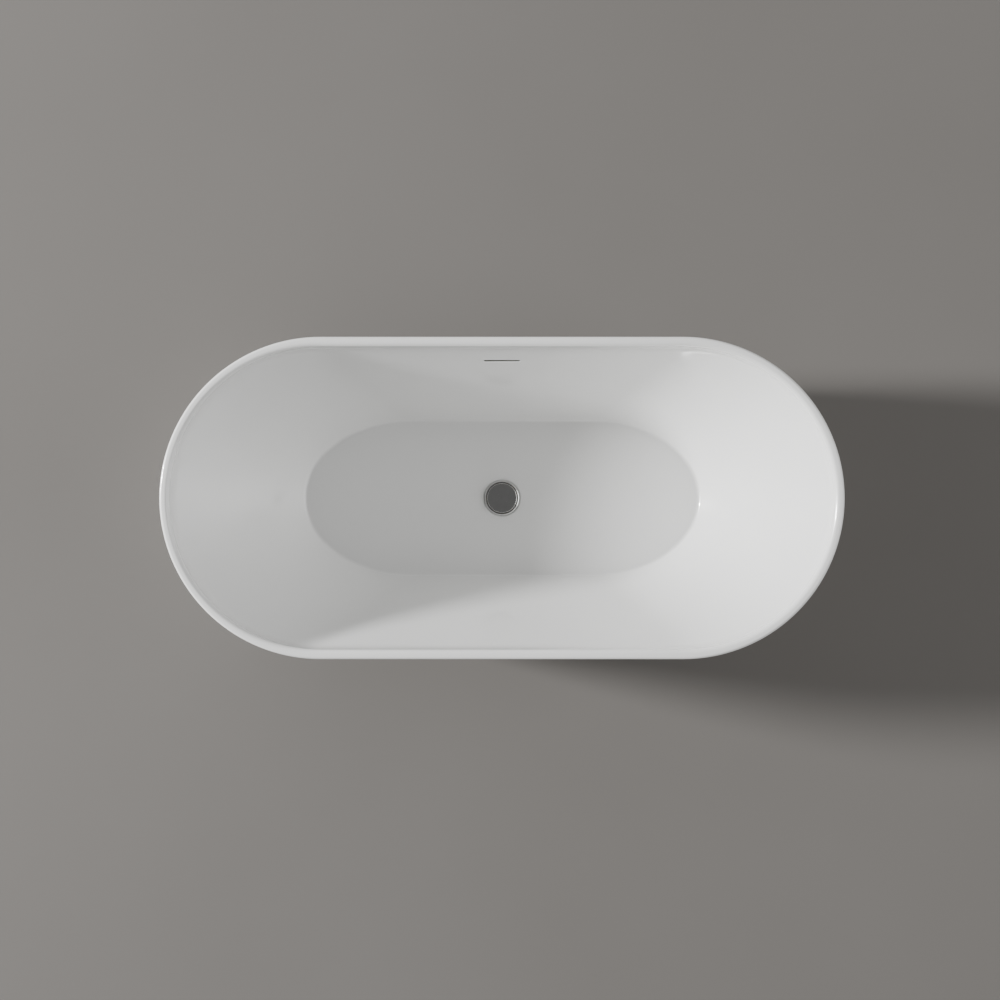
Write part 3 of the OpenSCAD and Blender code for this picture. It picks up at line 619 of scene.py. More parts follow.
class Finishes:
    """Every finish of the tub, each material built at its first use."""

    ACRYLIC = Finish(
        "white_acrylic", (0.84, 0.84, 0.828), (0.825, 0.825, 0.813), 0.22, 0.03,
        coat=1.0, coat_roughness=0.03,
        mottle_scale=3.0, grain_scale=55.0, grain_depth=0.00012, grain_strength=0.05,
    )
    LAMINATE = LaminateFinish(
        "glass_fibre", (0.52, 0.50, 0.40), (0.42, 0.40, 0.31), 0.42, 0.1, mottle_scale=5.0,
        grain_scale=140.0, grain_depth=0.0007, grain_strength=0.7,
    )
    # Painted shade: a near-black finish for the inside of the overflow slot, much darker than the pale
    # acrylic and laminate that really line it.
    PAINTED_SLOT_SHADE = Finish("painted_slot_shade", (0.035, 0.034, 0.032), (0.05, 0.048, 0.045), 0.6, grain_scale=400.0)
    ADHESIVE = Finish("bond_adhesive", (0.66, 0.66, 0.63), (0.58, 0.58, 0.54), 0.6, grain_scale=90.0)
    PLYWOOD = PlywoodFinish(
        "plywood", (0.55, 0.37, 0.20), (0.46, 0.29, 0.15), 0.62, 0.08, mottle_scale=4.0, grain_scale=60.0,
        grain_stretch=(1.0, 14.0, 14.0), grain_depth=0.0003, grain_strength=0.4,
    )
    COATED_STEEL = Finish(
        "coated_steel", (0.055, 0.058, 0.062), (0.045, 0.048, 0.052), 0.42, 0.06,
        coat=0.2, coat_roughness=0.3,
        grain_scale=700.0, grain_depth=0.0001, grain_strength=0.5,
    )
    ZINC = Finish(
        "zinc_plate", (0.55, 0.56, 0.55), (0.44, 0.46, 0.47), 0.34, 0.1, metallic=1.0, mottle_scale=60.0,
        grain_scale=500.0, grain_stretch=(1.0, 1.0, 6.0), grain_depth=0.00006, grain_strength=0.5,
    )
    CHROME = Finish(
        "chrome_plate", (0.72, 0.715, 0.705), (0.69, 0.685, 0.675), 0.09, 0.03,
        metallic=1.0, mottle_scale=40.0,
        grain_scale=900.0, grain_depth=0.00001, grain_strength=0.3,
    )
    BRASS = Finish(
        "turned_brass", (0.62, 0.44, 0.17), (0.52, 0.35, 0.12), 0.28, 0.08, metallic=1.0, mottle_scale=70.0,
        grain_scale=900.0, grain_stretch=(1.0, 1.0, 8.0), grain_depth=0.00005, grain_strength=0.5,
    )
    RUBBER = Finish(
        "black_rubber", (0.018, 0.018, 0.018), (0.03, 0.029, 0.028), 0.72, 0.1, specular=0.35,
        mottle_scale=30.0, grain_scale=900.0, grain_depth=0.0001, grain_strength=0.6,
    )
    BLACK_PLASTIC = Finish(
        "black_plastic", (0.022, 0.022, 0.023), (0.03, 0.03, 0.03), 0.45, 0.08, mottle_scale=20.0,
        grain_scale=1100.0, grain_depth=0.00008, grain_strength=0.6,
    )
    WHITE_PLASTIC = Finish(
        "white_plastic", (0.72, 0.72, 0.70), (0.66, 0.66, 0.63), 0.38, 0.06, mottle_scale=12.0,
        grain_scale=600.0, grain_depth=0.00008, grain_strength=0.4,
    )
    HOSE_PLASTIC = Finish(
        "hose_plastic", (0.40, 0.41, 0.42), (0.33, 0.34, 0.35), 0.35, 0.07, mottle_scale=14.0,
        grain_scale=500.0, grain_depth=0.00008, grain_strength=0.4,
    )
    FLOOR = Finish(
        "studio_floor", (0.155, 0.147, 0.138), (0.148, 0.140, 0.131), 0.8, 0.03,
        specular=0.2, mottle_scale=0.8,
        grain_scale=40.0, grain_depth=0.0001, grain_strength=0.1,
    )

    _made: dict[str, bpy.types.Material] = {}

    @classmethod
    def edge(cls, piece: bpy.types.Object, finish: Finish, faces: int) -> None:
        """Gives a piece's last faces a finish of their own.

        Args:
            piece: a piece that already has its main finish.
            finish: the other finish.
            faces: how many faces, counted back from the last one.
        """
        if finish.name not in cls._made:
            cls._made[finish.name] = finish.material()
        piece.data.materials.append(cls._made[finish.name])
        number = np.zeros(len(piece.data.polygons), np.int32)
        number[-faces:] = 1
        piece.data.polygons.foreach_set("material_index", number)

    @classmethod
    def dress(cls, piece: bpy.types.Object, finish: Finish) -> bpy.types.Object:
        """Gives a piece one finish all over.

        Args:
            piece: the object to dress.
            finish: its finish.

        Returns:
            The same object.
        """
        if finish.name not in cls._made:
            cls._made[finish.name] = finish.material()
        piece.data.materials.clear()
        piece.data.materials.append(cls._made[finish.name])
        return piece


@dataclass
class Assembly:
    """A group of pieces that are built and dressed together."""

    made: list[bpy.types.Object] = field(default_factory=list, init=False)

    def place(
        self,
        surface: Surface,
        name: str,
        finish: Finish,
        slot: str,
        body: str,
        *nodes: str,
        crease_deg: float = 40.0,
    ) -> bpy.types.Object:
        """Turns a surface into a finished piece on its body.

        Args:
            surface: the piece's surface.
            name: the piece's name.
            finish: the piece's finish.
            slot: a material slot's name, not used.
            body: the CAD body that it rides on.
            nodes: the CAD nodes that it stands for.
            crease_deg: edges that bend more than this stay sharp.

        Returns:
            The new piece.
        """
        made = Finishes.dress(surface.piece(name, crease_deg), finish)
        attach(made, body)
        if nodes:
            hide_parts(*nodes)
        self.made.append(made)
        return made

    def keep(self, finish: Finish, *nodes: str) -> None:
        """Dresses CAD nodes whose own shape is shown.

        Args:
            finish: their finish.
            nodes: their names.
        """
        for node in nodes:
            self.made.append(Finishes.dress(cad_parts[node], finish))

    def build(self) -> None:
        """Builds the assembly's pieces."""
        raise NotImplementedError

    def report(self) -> None:
        """Logs each piece with its size."""
        for piece in self.made:
            LOG.info("%s: %s, %d faces", type(self).__name__, piece.name, len(piece.data.polygons))


# ---------- the two shells ----------


@dataclass
class Plan:
    """The tub's plan: straight sides between two round ends."""

    length: float = 1700.0
    width: float = 800.0
    height: float = 580.0
    end_steps: int = 72
    side_steps: int = 54

    @property
    def end_radius(self) -> float:
        """Radius of the rim's round ends."""
        return self.width / 2

    @property
    def straight(self) -> float:
        """Half the length of the straight sides."""
        return (self.length - self.width) / 2

    def outline(self, s: Grid | float, a: Grid | float, b: Grid | float) -> Grid:
        """Closed outlines with straight sides and elliptical ends, anticlockwise from the front.

        The right end is (s + a cos t, b sin t) for t from -90 to 90 degrees, the back side runs from
        (s, b) to (-s, b), and the left end and front side are the same turned half round.

        Args:
            s: half the straight side's length, one for each outline or one for all.
            a: the ends' semi-axis along X.
            b: the ends' semi-axis along Y.

        Returns:
            Rows of outlines, each of x, y points.
        """
        s, a, b = (np.atleast_1d(np.asarray(v, float))[:, None] for v in (s, a, b))
        t = np.linspace(-math.pi / 2, math.pi / 2, self.end_steps + 1)
        u = np.linspace(1, -1, self.side_steps + 1)[1:-1]
        end = np.stack(np.broadcast_arrays(s + a * np.cos(t), b * np.sin(t)), axis=-1)
        side = np.stack(np.broadcast_arrays(s * u, b + 0 * u), axis=-1)
        return np.concatenate([end, side, -end, -side], axis=1)

    @property
    def columns(self) -> int:
        """Points in an outline."""
        return 2 * (self.end_steps + self.side_steps)

    def inset(self, inset: Grid, z: Grid) -> Grid:
        """Rings set in from the rim's outline.

        Args:
            inset: how far in, one for each ring.
            z: the rings' heights.

        Returns:
            Rows of points.
        """
        radius = self.end_radius - np.asarray(inset, float)
        flat = self.outline(self.straight, radius, radius)
        height = np.broadcast_to(np.asarray(z)[:, None, None], flat.shape[:2] + (1,))
        return np.concatenate([flat, height], -1)


@dataclass
class BasinForm:
    """The basin's wetted surface, which its skins are set off from."""

    plan: Plan
    rim_w: float = 24.0
    rim_outer_r: float = 7.0
    rim_inner_r: float = 12.0
    lip_h: float = 25.0
    lip_t: float = 5.0
    floor_h: float = 160.0
    backrest_run: float = 292.0
    side_run: float = 167.0
    floor_end: float = 284.0
    steep_q: float = 0.05
    fillet_wall: float = 0.014
    fillet_floor: float = 0.034
    floor_fall: float = 7.0
    recess_d: float = 4.0
    recess_r: float = 49.0
    recess_edge: float = 1.5
    drain_r: float = 26.0
    under_z: float = 143.0
    slot_z: float = 480.0
    slot_l: float = 92.0
    slot_h: float = 8.0
    slot_edge: float = 1.2
    patch_half_h: float = 17.0
    patch_half_l: float = 63.0

    def __post_init__(self) -> None:
        """Works out the sizes that follow from the fields."""
        self.top_z = self.plan.height - self.rim_inner_r
        self.drop = self.top_z - self.floor_h
        self.end_r = self.plan.end_radius - self.rim_w
        self.floor_b = self.end_r - self.side_run
        self.floor_s = self.plan.length / 2 - self.rim_w - self.backrest_run - self.floor_end
        self.seat_z = self.floor_h - self.floor_fall - self.recess_d
        rows = (self.section[:, 1] * -self.drop) + self.top_z
        self.patch_top = int(np.argmin(np.abs(rows - (self.slot_z + self.patch_half_h))))
        self.patch_low = int(np.argmin(np.abs(rows - (self.slot_z - self.patch_half_h))))
        self.slot_shade_faces = 0

    def line_p(self, q: float) -> float:
        """How far in the wall's straight part has come at a share q of the drop."""
        return (q - self.steep_q) / (1 - self.steep_q)

    @property
    def wall_tilt(self) -> float:
        """How far the back wall leans from upright, in radians."""
        return math.atan2(self.side_run, (1 - self.steep_q) * self.drop)

    @staticmethod
    def bend(a: tuple, b: tuple, c: tuple, steps: int) -> Grid:
        """The curve (1-t)^2 a + 2t(1-t) b + t^2 c.

        Args:
            a: the start.
            b: the corner that the curve is drawn towards.
            c: the end.
            steps: straight pieces.

        Returns:
            Points from a to c.
        """
        t = np.linspace(0, 1, steps + 1)[:, None]
        return (1 - t) ** 2 * np.array(a) + 2 * t * (1 - t) * np.array(b) + t**2 * np.array(c)

    @property
    def section(self) -> Grid:
        """The wall's section as shares of its run and drop: steep, straight, then a fillet.

        Returns:
            Rows of p and q.
        """
        steep_end = (self.line_p(2 * self.steep_q), 2 * self.steep_q)
        fillet_start = (self.line_p(1 - self.fillet_wall), 1 - self.fillet_wall)
        mid_q = (self.top_z - self.slot_z) / self.drop
        half_q = self.patch_half_h / self.drop
        q = spread(
            (steep_end[1], mid_q - half_q, 3), (mid_q - half_q, mid_q + half_q, 12),
            (mid_q + half_q, fillet_start[1], 16),
        )[1:-1]
        line = np.stack([(q - self.steep_q) / (1 - self.steep_q), q], axis=-1)
        return np.vstack([
            self.bend((0, 0), (0, self.steep_q), steep_end, 10),
            line,
            self.bend(fillet_start, (1, 1), (1 + self.fillet_floor, 1), 12),
        ])

    def wall(self, section: Grid, off: float) -> Grid:
        """Rings on the wall, set off level towards its back.

        Between rim and floor the straight length and both semi-axes change evenly with p, and the
        height falls with q.

        Args:
            section: rows of p and q.
            off: how far behind the wetted surface.

        Returns:
            Rows of points.
        """
        p, q = section[:, 0], section[:, 1]
        s = self.plan.straight + (self.floor_s - self.plan.straight) * p
        a = self.end_r + (self.floor_end - self.end_r) * p + off
        b = self.end_r + (self.floor_b - self.end_r) * p + off
        flat = self.plan.outline(s, a, b)
        z = self.top_z - q * self.drop
        return np.concatenate([flat, np.broadcast_to(z[:, None, None], flat.shape[:2] + (1,))], axis=-1)

    def circles(self, r: Grid, z: Grid) -> Grid:
        """Rings round the drain, with a point for each of the outline's.

        Args:
            r: the radii.
            z: the heights.

        Returns:
            Rows of points.
        """
        n = self.plan.columns
        t = np.arange(n) * TURN / n - math.pi / 2 + math.pi / n
        way = np.stack([np.cos(t), np.sin(t)], axis=-1)
        flat = np.asarray(r)[:, None, None] * way[None]
        height = np.broadcast_to(np.asarray(z)[:, None, None], flat.shape[:2] + (1,))
        return np.concatenate([flat, height], -1)

    def floor(self, steps: int, off: float) -> Grid:
        """Rings across the floor, from its fillet to the drain's surround.

        A ring is the even mix of the floor's outline and a circle, and its height falls smoothly
        with the same share.

        Args:
            steps: rings to make.
            off: how far below the wetted surface.

        Returns:
            Rows of points.
        """
        outer = self.wall(np.array([[1 + self.fillet_floor, 1.0]]), 0.0)
        inner = self.circles([self.recess_r + 12], [self.floor_h - self.floor_fall])
        t = np.linspace(0, 1, steps + 1)[1:, None, None]
        return outer * (1 - t) + inner * t - np.array([0, 0, off])

    def recess(self, off: float) -> Grid:
        """Rings down the soft edge of the flange's recess and across its seat.

        Args:
            off: how far below the wetted surface.

        Returns:
            Rows of points.
        """
        edge = self.recess_edge
        turn = quarter(5)
        top = self.floor_h - self.floor_fall
        r = self.recess_r + 2 * edge * (1 - np.sin(turn))
        z = top - edge * (1 - np.cos(turn))
        low_r = self.recess_r - 2 * edge * (1 - np.cos(turn))
        low_z = self.seat_z + edge * (1 - np.sin(turn))
        r = np.concatenate([[self.recess_r + 7], r, low_r, [self.drain_r + 10, self.drain_r]])
        z = np.concatenate([[top], z, low_z, [self.seat_z, self.seat_z]])
        return self.circles(r, z - off)

    def wall_y(self, z: Grid) -> Grid:
        """How far back the wetted wall stands at a height in its straight part."""
        return self.end_r - self.side_run * self.line_p((self.top_z - z) / self.drop)

    def skin(self, top: Grid, front: float, back: float, tail: Grid, under: Grid) -> Surface:
        """A closed skin between two distances behind the wetted surface, with the overflow's slot.

        Args:
            top: rings before the wall's first one, from the lip over the rim.
            front: distance of the skin's front.
            back: distance of the skin's back.
            tail: rings that close the skin through the drain hole.
            under: rings that close the skin under the rim.

        Returns:
            The skin's surface.
        """
        surface = Surface()
        section = self.section
        floor_steps = 14
        ahead = np.concatenate([
            self.wall(section, front), self.floor(floor_steps, front), self.recess(front),
        ])
        behind = np.concatenate([
            self.wall(section, back), self.floor(floor_steps, back), self.recess(back),
        ])[::-1]
        behind[..., 2] = np.maximum(behind[..., 2], self.under_z)
        rings = np.concatenate([top, ahead, tail, behind, under])
        numbers = surface.add_points(rings)
        faces = self.all_faces(numbers)
        first = len(top) + self.patch_top
        last = len(top) + self.patch_low
        back_first = len(top) + len(ahead) + len(tail) + len(ahead) - 1 - self.patch_top
        back_last = len(top) + len(ahead) + len(tail) + len(ahead) - 1 - self.patch_low
        mid = self.plan.end_steps + self.plan.side_steps // 2
        x = rings[first, :, 0]
        half = int(np.argmin(np.abs(x[mid:mid + 20] + self.patch_half_l)))
        low, high = mid - half, mid + half
        keep = np.ones(faces.shape[:2], bool)
        keep[first:last, low:high] = False
        keep[back_last:back_first, low:high] = False
        surface.quads.append(faces[keep])
        front_loop = self.loop(numbers[first:last + 1], low, high)
        back_loop = self.loop(numbers[back_last:back_first + 1][::-1], low, high)
        points = np.vstack(surface.corners)
        between = self.tunnel(points[front_loop], points[back_loop], front, back)
        # The tunnel's last three bands of faces, through the slot to the back, which take the painted slot
        # shade.
        self.slot_shade_faces = 3 * len(front_loop)
        new = surface.add_points(between)
        surface.join(np.vstack([front_loop, new, back_loop]))
        return surface

    @staticmethod
    def all_faces(numbers: Grid) -> Grid:
        """Faces of a grid that closes both ways, kept in the grid's order.

        Args:
            numbers: corner numbers, rows by columns.

        Returns:
            Rows by columns of four corner numbers.
        """
        on = np.roll(numbers, -1, axis=0)
        return np.stack([numbers, np.roll(numbers, -1, 1), np.roll(on, -1, 1), on], axis=-1)

    @staticmethod
    def loop(numbers: Grid, low: int, high: int) -> Grid:
        """The corner numbers round a block of the grid, in its faces' own direction.

        Args:
            numbers: the block's rows.
            low: its first column.
            high: its last column.

        Returns:
            One closed row of corner numbers.
        """
        block = numbers[:, low:high + 1]
        return np.concatenate([block[0, :-1], block[:-1, -1], block[-1, :0:-1], block[:0:-1, 0]])

    def tunnel(self, front_edge: Grid, back_edge: Grid, front: float, back: float) -> Grid:
        """Loops from the block's edge, over the slot's rounded mouth and through to the back.

        A loop is a long round-ended hole seen from the front: the point c + r (v - c) / |v - c|,
        where v is the edge's point and c the nearest point on the slot's middle line.

        Args:
            front_edge: points round the front's block.
            back_edge: points round the back's block.
            front: distance of the front behind the wetted surface.
            back: distance of the back behind the wetted surface.

        Returns:
            Rows of points.
        """
        half = (self.slot_l - self.slot_h) / 2

        def slot_loop(edge: Grid, r: float, off: float) -> Grid:
            """One loop at a radius, a level distance behind the wetted wall."""
            flat = edge[:, [0, 2]] - np.array([0, self.slot_z])
            c = np.stack([np.clip(flat[:, 0], -half, half), 0 * flat[:, 0]], axis=-1)
            way = flat - c
            hole = c + r * way / np.linalg.norm(way, axis=1, keepdims=True)
            z = hole[:, 1] + self.slot_z
            return np.stack([hole[:, 0], self.wall_y(z) + off, z], axis=-1)

        r, edge_r = self.slot_h / 2, self.slot_edge
        mouth = slot_loop(front_edge, r + edge_r, front)
        rows = [front_edge * (1 - t) + mouth * t for t in (0.35, 0.65, 0.85)]
        rows += [
            slot_loop(front_edge, r + edge_r * (1 - math.sin(a)), front + edge_r * (1 - math.cos(a)))
            for a in quarter(5)
        ]
        rear = slot_loop(front_edge, r, back)
        rows += [rear, back_edge * 0.5 + rear * 0.5]
        return np.stack(rows)


@dataclass
class Basin(Assembly):
    """The basin: a glossy acrylic skin with its rim, and the laminate behind it."""

    form: BasinForm = field(default_factory=lambda: BasinForm(Plan()))
    acrylic_t: float = 3.6
    wall_t: float = 9.0
    skin_gap: float = 0.15

    def acrylic(self) -> Surface:
        """The acrylic skin, from the lip's foot over the rim and down to the drain hole.

        Returns:
            The skin's surface.
        """
        form = self.form
        plan = form.plan
        turn = quarter(8)
        top_z = plan.height
        lip_z = top_z - form.lip_h
        foot_r = 1.0
        outer = np.concatenate([
            [[form.lip_t - foot_r, lip_z]],
            np.stack([foot_r * (1 - np.sin(turn)), lip_z + foot_r * (1 - np.cos(turn))], -1),
            np.stack([
                form.rim_outer_r * (1 - np.cos(turn)), top_z - form.rim_outer_r * (1 - np.sin(turn)),
            ], -1),
            [[(form.rim_w - form.rim_inner_r + form.rim_outer_r) / 2, top_z]],
            np.stack([
                form.rim_w - form.rim_inner_r * (1 - np.sin(turn)),
                form.top_z + form.rim_inner_r * np.cos(turn),
            ], -1)[:-1],
        ])
        top = plan.inset(outer[:, 0], outer[:, 1])
        tail = form.circles([form.drain_r], [form.seat_z - self.acrylic_t / 2])
        under_z = top_z - self.acrylic_t
        under = plan.inset(
            np.array([form.rim_w - self.acrylic_t, form.lip_t, form.lip_t]),
            np.array([under_z, under_z, lip_z + foot_r]),
        )
        return form.skin(top, 0.0, self.acrylic_t, tail, under)

    def laminate(self) -> Surface:
        """The glass-fibre backing, from under the rim to the drain hole.

        Returns:
            The backing's surface.
        """
        form = self.form
        front = self.acrylic_t + self.skin_gap
        top_z = form.top_z - 2
        insets = np.array([form.rim_w - self.wall_t, form.rim_w - front])
        top = form.plan.inset(insets, np.array([top_z, top_z]))
        tail = form.circles([form.drain_r], [form.seat_z - front - 1])
        under = form.plan.inset(np.array([form.rim_w - self.wall_t]), np.array([top_z - 4]))
        return form.skin(top, front, self.wall_t, tail, under)

    def build(self) -> None:
        """Builds both skins."""
        tub = Body.TUB.value
        skin = self.place(self.acrylic(), "basin_acrylic", Finishes.ACRYLIC, "acrylic", tub, "basin_shell")
        # The slot's tunnel faces get the painted slot shade instead of the acrylic.
        Finishes.edge(skin, Finishes.PAINTED_SLOT_SHADE, self.form.slot_shade_faces)
        self.place(self.laminate(), "basin_laminate", Finishes.LAMINATE, "acrylic", tub)
        self.keep(Finishes.ADHESIVE, "rim_bond_bead")


@dataclass
class Skirt(Assembly):
    """The outer shell that carries the rim's lip down to the floor."""

    plan: Plan = field(default_factory=Plan)
    base_inset: float = 100.0
    bend: float = 1.8
    thickness: float = 5.0
    gap: float = 8.0
    return_w: float = 35.0
    shelf_z: float = 554.0
    tongue_outer: float = 6.5
    tongue_inner: float = 12.5
    tongue_top: float = 570.0

    def inset_at(self, z: Grid) -> Grid:
        """How far in the skirt stands: base inset times (1 - height share) to the bend."""
        return self.base_inset * (1 - (z - self.gap) / (self.shelf_z - self.gap)) ** self.bend

    def build(self) -> None:
        """Builds the skirt as one closed section carried round the plan."""
        z = np.linspace(self.gap + 3, self.shelf_z - 1, 72)
        turn = quarter(5)
        foot_r, shelf_r = 3.0, 1.0
        inner_z = np.linspace(self.shelf_z - 14, self.gap + self.thickness + 2, 40)
        at_base = self.base_inset
        section = np.concatenate([
            np.stack([
                at_base + foot_r * (1 - np.sin(turn)), self.gap + foot_r * (1 - np.cos(turn)),
            ], -1)[:-1],
            np.stack([self.inset_at(z), z], -1),
            np.stack([shelf_r * (1 - np.cos(turn)), self.shelf_z - shelf_r * (1 - np.sin(turn))], -1)[1:],
            [[self.tongue_outer, self.shelf_z], [self.tongue_outer, self.tongue_top]],
            [[self.tongue_inner, self.tongue_top], [self.tongue_inner, self.shelf_z - 4]],
            np.stack([self.inset_at(inner_z) + self.thickness, inner_z], -1),
            [[at_base + self.thickness + 2, self.gap + self.thickness]],
            [[at_base + self.return_w, self.gap + self.thickness], [at_base + self.return_w, self.gap]],
        ])
        surface = Surface()
        surface.join(surface.add_points(self.plan.inset(section[:, 0], section[:, 1])), round_rows=True)
        self.place(surface, "skirt_shell", Finishes.ACRYLIC, "acrylic", Body.TUB.value, "outer_skirt")
        self.keep(Finishes.PLYWOOD, "skirt_base_ring")


# ---------- waste ----------


@dataclass
class Waste(Assembly):
    """The press-to-close waste: flange, cap and what hangs below them."""

    seat_z: float = 149.0
    seal_t: float = 1.5
    flange_r: float = 47.0
    flange_t: float = 3.6
    dish_floor: float = 1.2
    shank_r: float = 24.0
    bore_r: float = 20.0
    shank_bottom: float = 101.0
    cap_r: float = 40.0
    ring_gap: float = 1.2
    ring_nose: float = 0.8
    ring_edge_t: float = 0.9
    cap_travel: float = 9.0
    cap_edge_t: float = 3.2
    cap_dome: float = 1.5
    stem_r: float = 4.05
    boss_r: float = 8.0
    pin_r: float = 5.0
    spider_t: float = 5.0
    spoke_w: float = 4.0
    cartridge_top: float = 147.0
    columns: int = 144

    def flange(self) -> Surface:
        """The flange and its shank, turned from one outline.

        Returns:
            The flange's surface.
        """
        z = self.seat_z + self.seal_t
        top = z + self.flange_t
        inner = self.cap_r + self.ring_gap
        peak = inner + self.ring_nose
        dish = z + self.dish_floor
        edge_z = z + self.ring_edge_t
        t = quarter(14)
        outer = np.stack([peak + (self.flange_r - peak) * np.cos(t), edge_z + (top - edge_z) * np.sin(t)], -1)
        nose = np.stack([peak - self.ring_nose * np.sin(t), top - 0.9 * (1 - np.cos(t))], -1)
        ring = np.concatenate([outer, nose[1:]])
        shank = rounded(
            [
                (self.cap_r - 4, dish), (self.shank_r - 0.5, dish), (self.bore_r, z - 3),
                (self.bore_r, self.shank_bottom), (self.shank_r, self.shank_bottom), (self.shank_r, z - 0.05),
                (self.flange_r - 0.6, z - 0.05), (self.flange_r - 0.1, z + 0.4),
            ],
            1.0,
        )
        surface = Surface()
        profile = np.concatenate([ring, shank])[::-1]
        surface.join(surface.add_points(turned(profile, self.columns)), round_rows=True)
        return surface

    def spider(self) -> Surface:
        """The ring and four arms at the shank's foot that hold the cartridge.

        An arm is a flat bar with soft edges, run from the ring into the shank's wall.

        Returns:
            The spider's surface.
        """
        surface = Surface()
        low, high = self.shank_bottom, self.shank_bottom + self.spider_t
        ring = rounded(
            [(self.boss_r, low), (self.boss_r, high), (self.pin_r, high), (self.pin_r, low)][::-1], 0.6
        )
        surface.join(surface.add_points(turned(ring, self.columns)), round_rows=True)
        half = self.spoke_w / 2
        bar = rounded([(-half, low), (half, low), (half, high), (-half, high)], 0.5)
        for turn in np.arange(4) * TURN / 4 + TURN / 8:
            ahead = np.array([math.cos(turn), math.sin(turn), 0])
            aside = np.array([-math.sin(turn), math.cos(turn), 0])
            run = np.linspace(self.pin_r + 1, self.bore_r + 1, 5)[:, None, None] * ahead
            points = run + bar[None, :, :1] * aside + bar[None, :, 1:] * np.array([0, 0, 1])
            numbers = surface.add_points(points)
            surface.join(numbers)
            surface.cap(numbers[-1], upwards=True)
            surface.cap(numbers[0], upwards=False)
        return surface

    def cap(self) -> Surface:
        """The cap: a shallow dome with a rounded edge and a boss below.

        The dome is z = top + dome (1 - (r / R)^2).

        Returns:
            The cap's surface.
        """
        under = self.seat_z + self.seal_t + self.flange_t + 0.4 + self.cap_travel
        top = under + self.cap_edge_t
        boss_under = self.cartridge_top + 0.5 + self.cap_travel
        turn = quarter(8)
        edge_r = 1.3
        r = np.linspace(self.cap_r - edge_r, 0.5, 22)
        dome = np.stack([r, top + self.cap_dome * (1 - (r / self.cap_r) ** 2)], -1)
        start = dome[0, 1]
        edge = np.stack([
            self.cap_r - edge_r * (1 - np.cos(turn)), start - edge_r * (1 - np.sin(turn)),
        ], -1)[:-1]
        profile = np.concatenate([
            [[self.stem_r, under + 1], [self.stem_r, boss_under], [self.boss_r, boss_under]],
            [[self.boss_r, under - 0.6], [self.boss_r + 0.6, under], [self.cap_r - 0.7, under]],
            [[self.cap_r, under + 0.7]],
            edge,
            dome,
        ])
        surface = Surface()
        numbers = surface.add_points(turned(profile, self.columns))
        surface.join(numbers)
        surface.cap(numbers[-1], upwards=True)
        surface.cap(numbers[0], upwards=False)
        return surface

    def build(self) -> None:
        """Builds the flange and the cap, and dresses the rest."""
        tub = Body.TUB.value
        self.place(self.flange(), "waste_flange", Finishes.CHROME, "chrome", tub, "drain_flange")
        self.place(self.spider(), "waste_spider", Finishes.CHROME, "chrome", tub)
        self.place(self.cap(), "waste_cap", Finishes.CHROME, "chrome", Body.CAP.value, "drain_cap")
        self.keep(Finishes.RUBBER, "flange_seal", "body_gasket", "cap_seal", "tail_washer")
        self.keep(Finishes.WHITE_PLASTIC, "drain_body", "index_ring")
        self.keep(Finishes.BRASS, "cartridge_body", "cap_stem")
        self.keep(Finishes.ZINC, "click_spring")
        self.keep(Finishes.CHROME, "tail_pipe", "tail_nut")


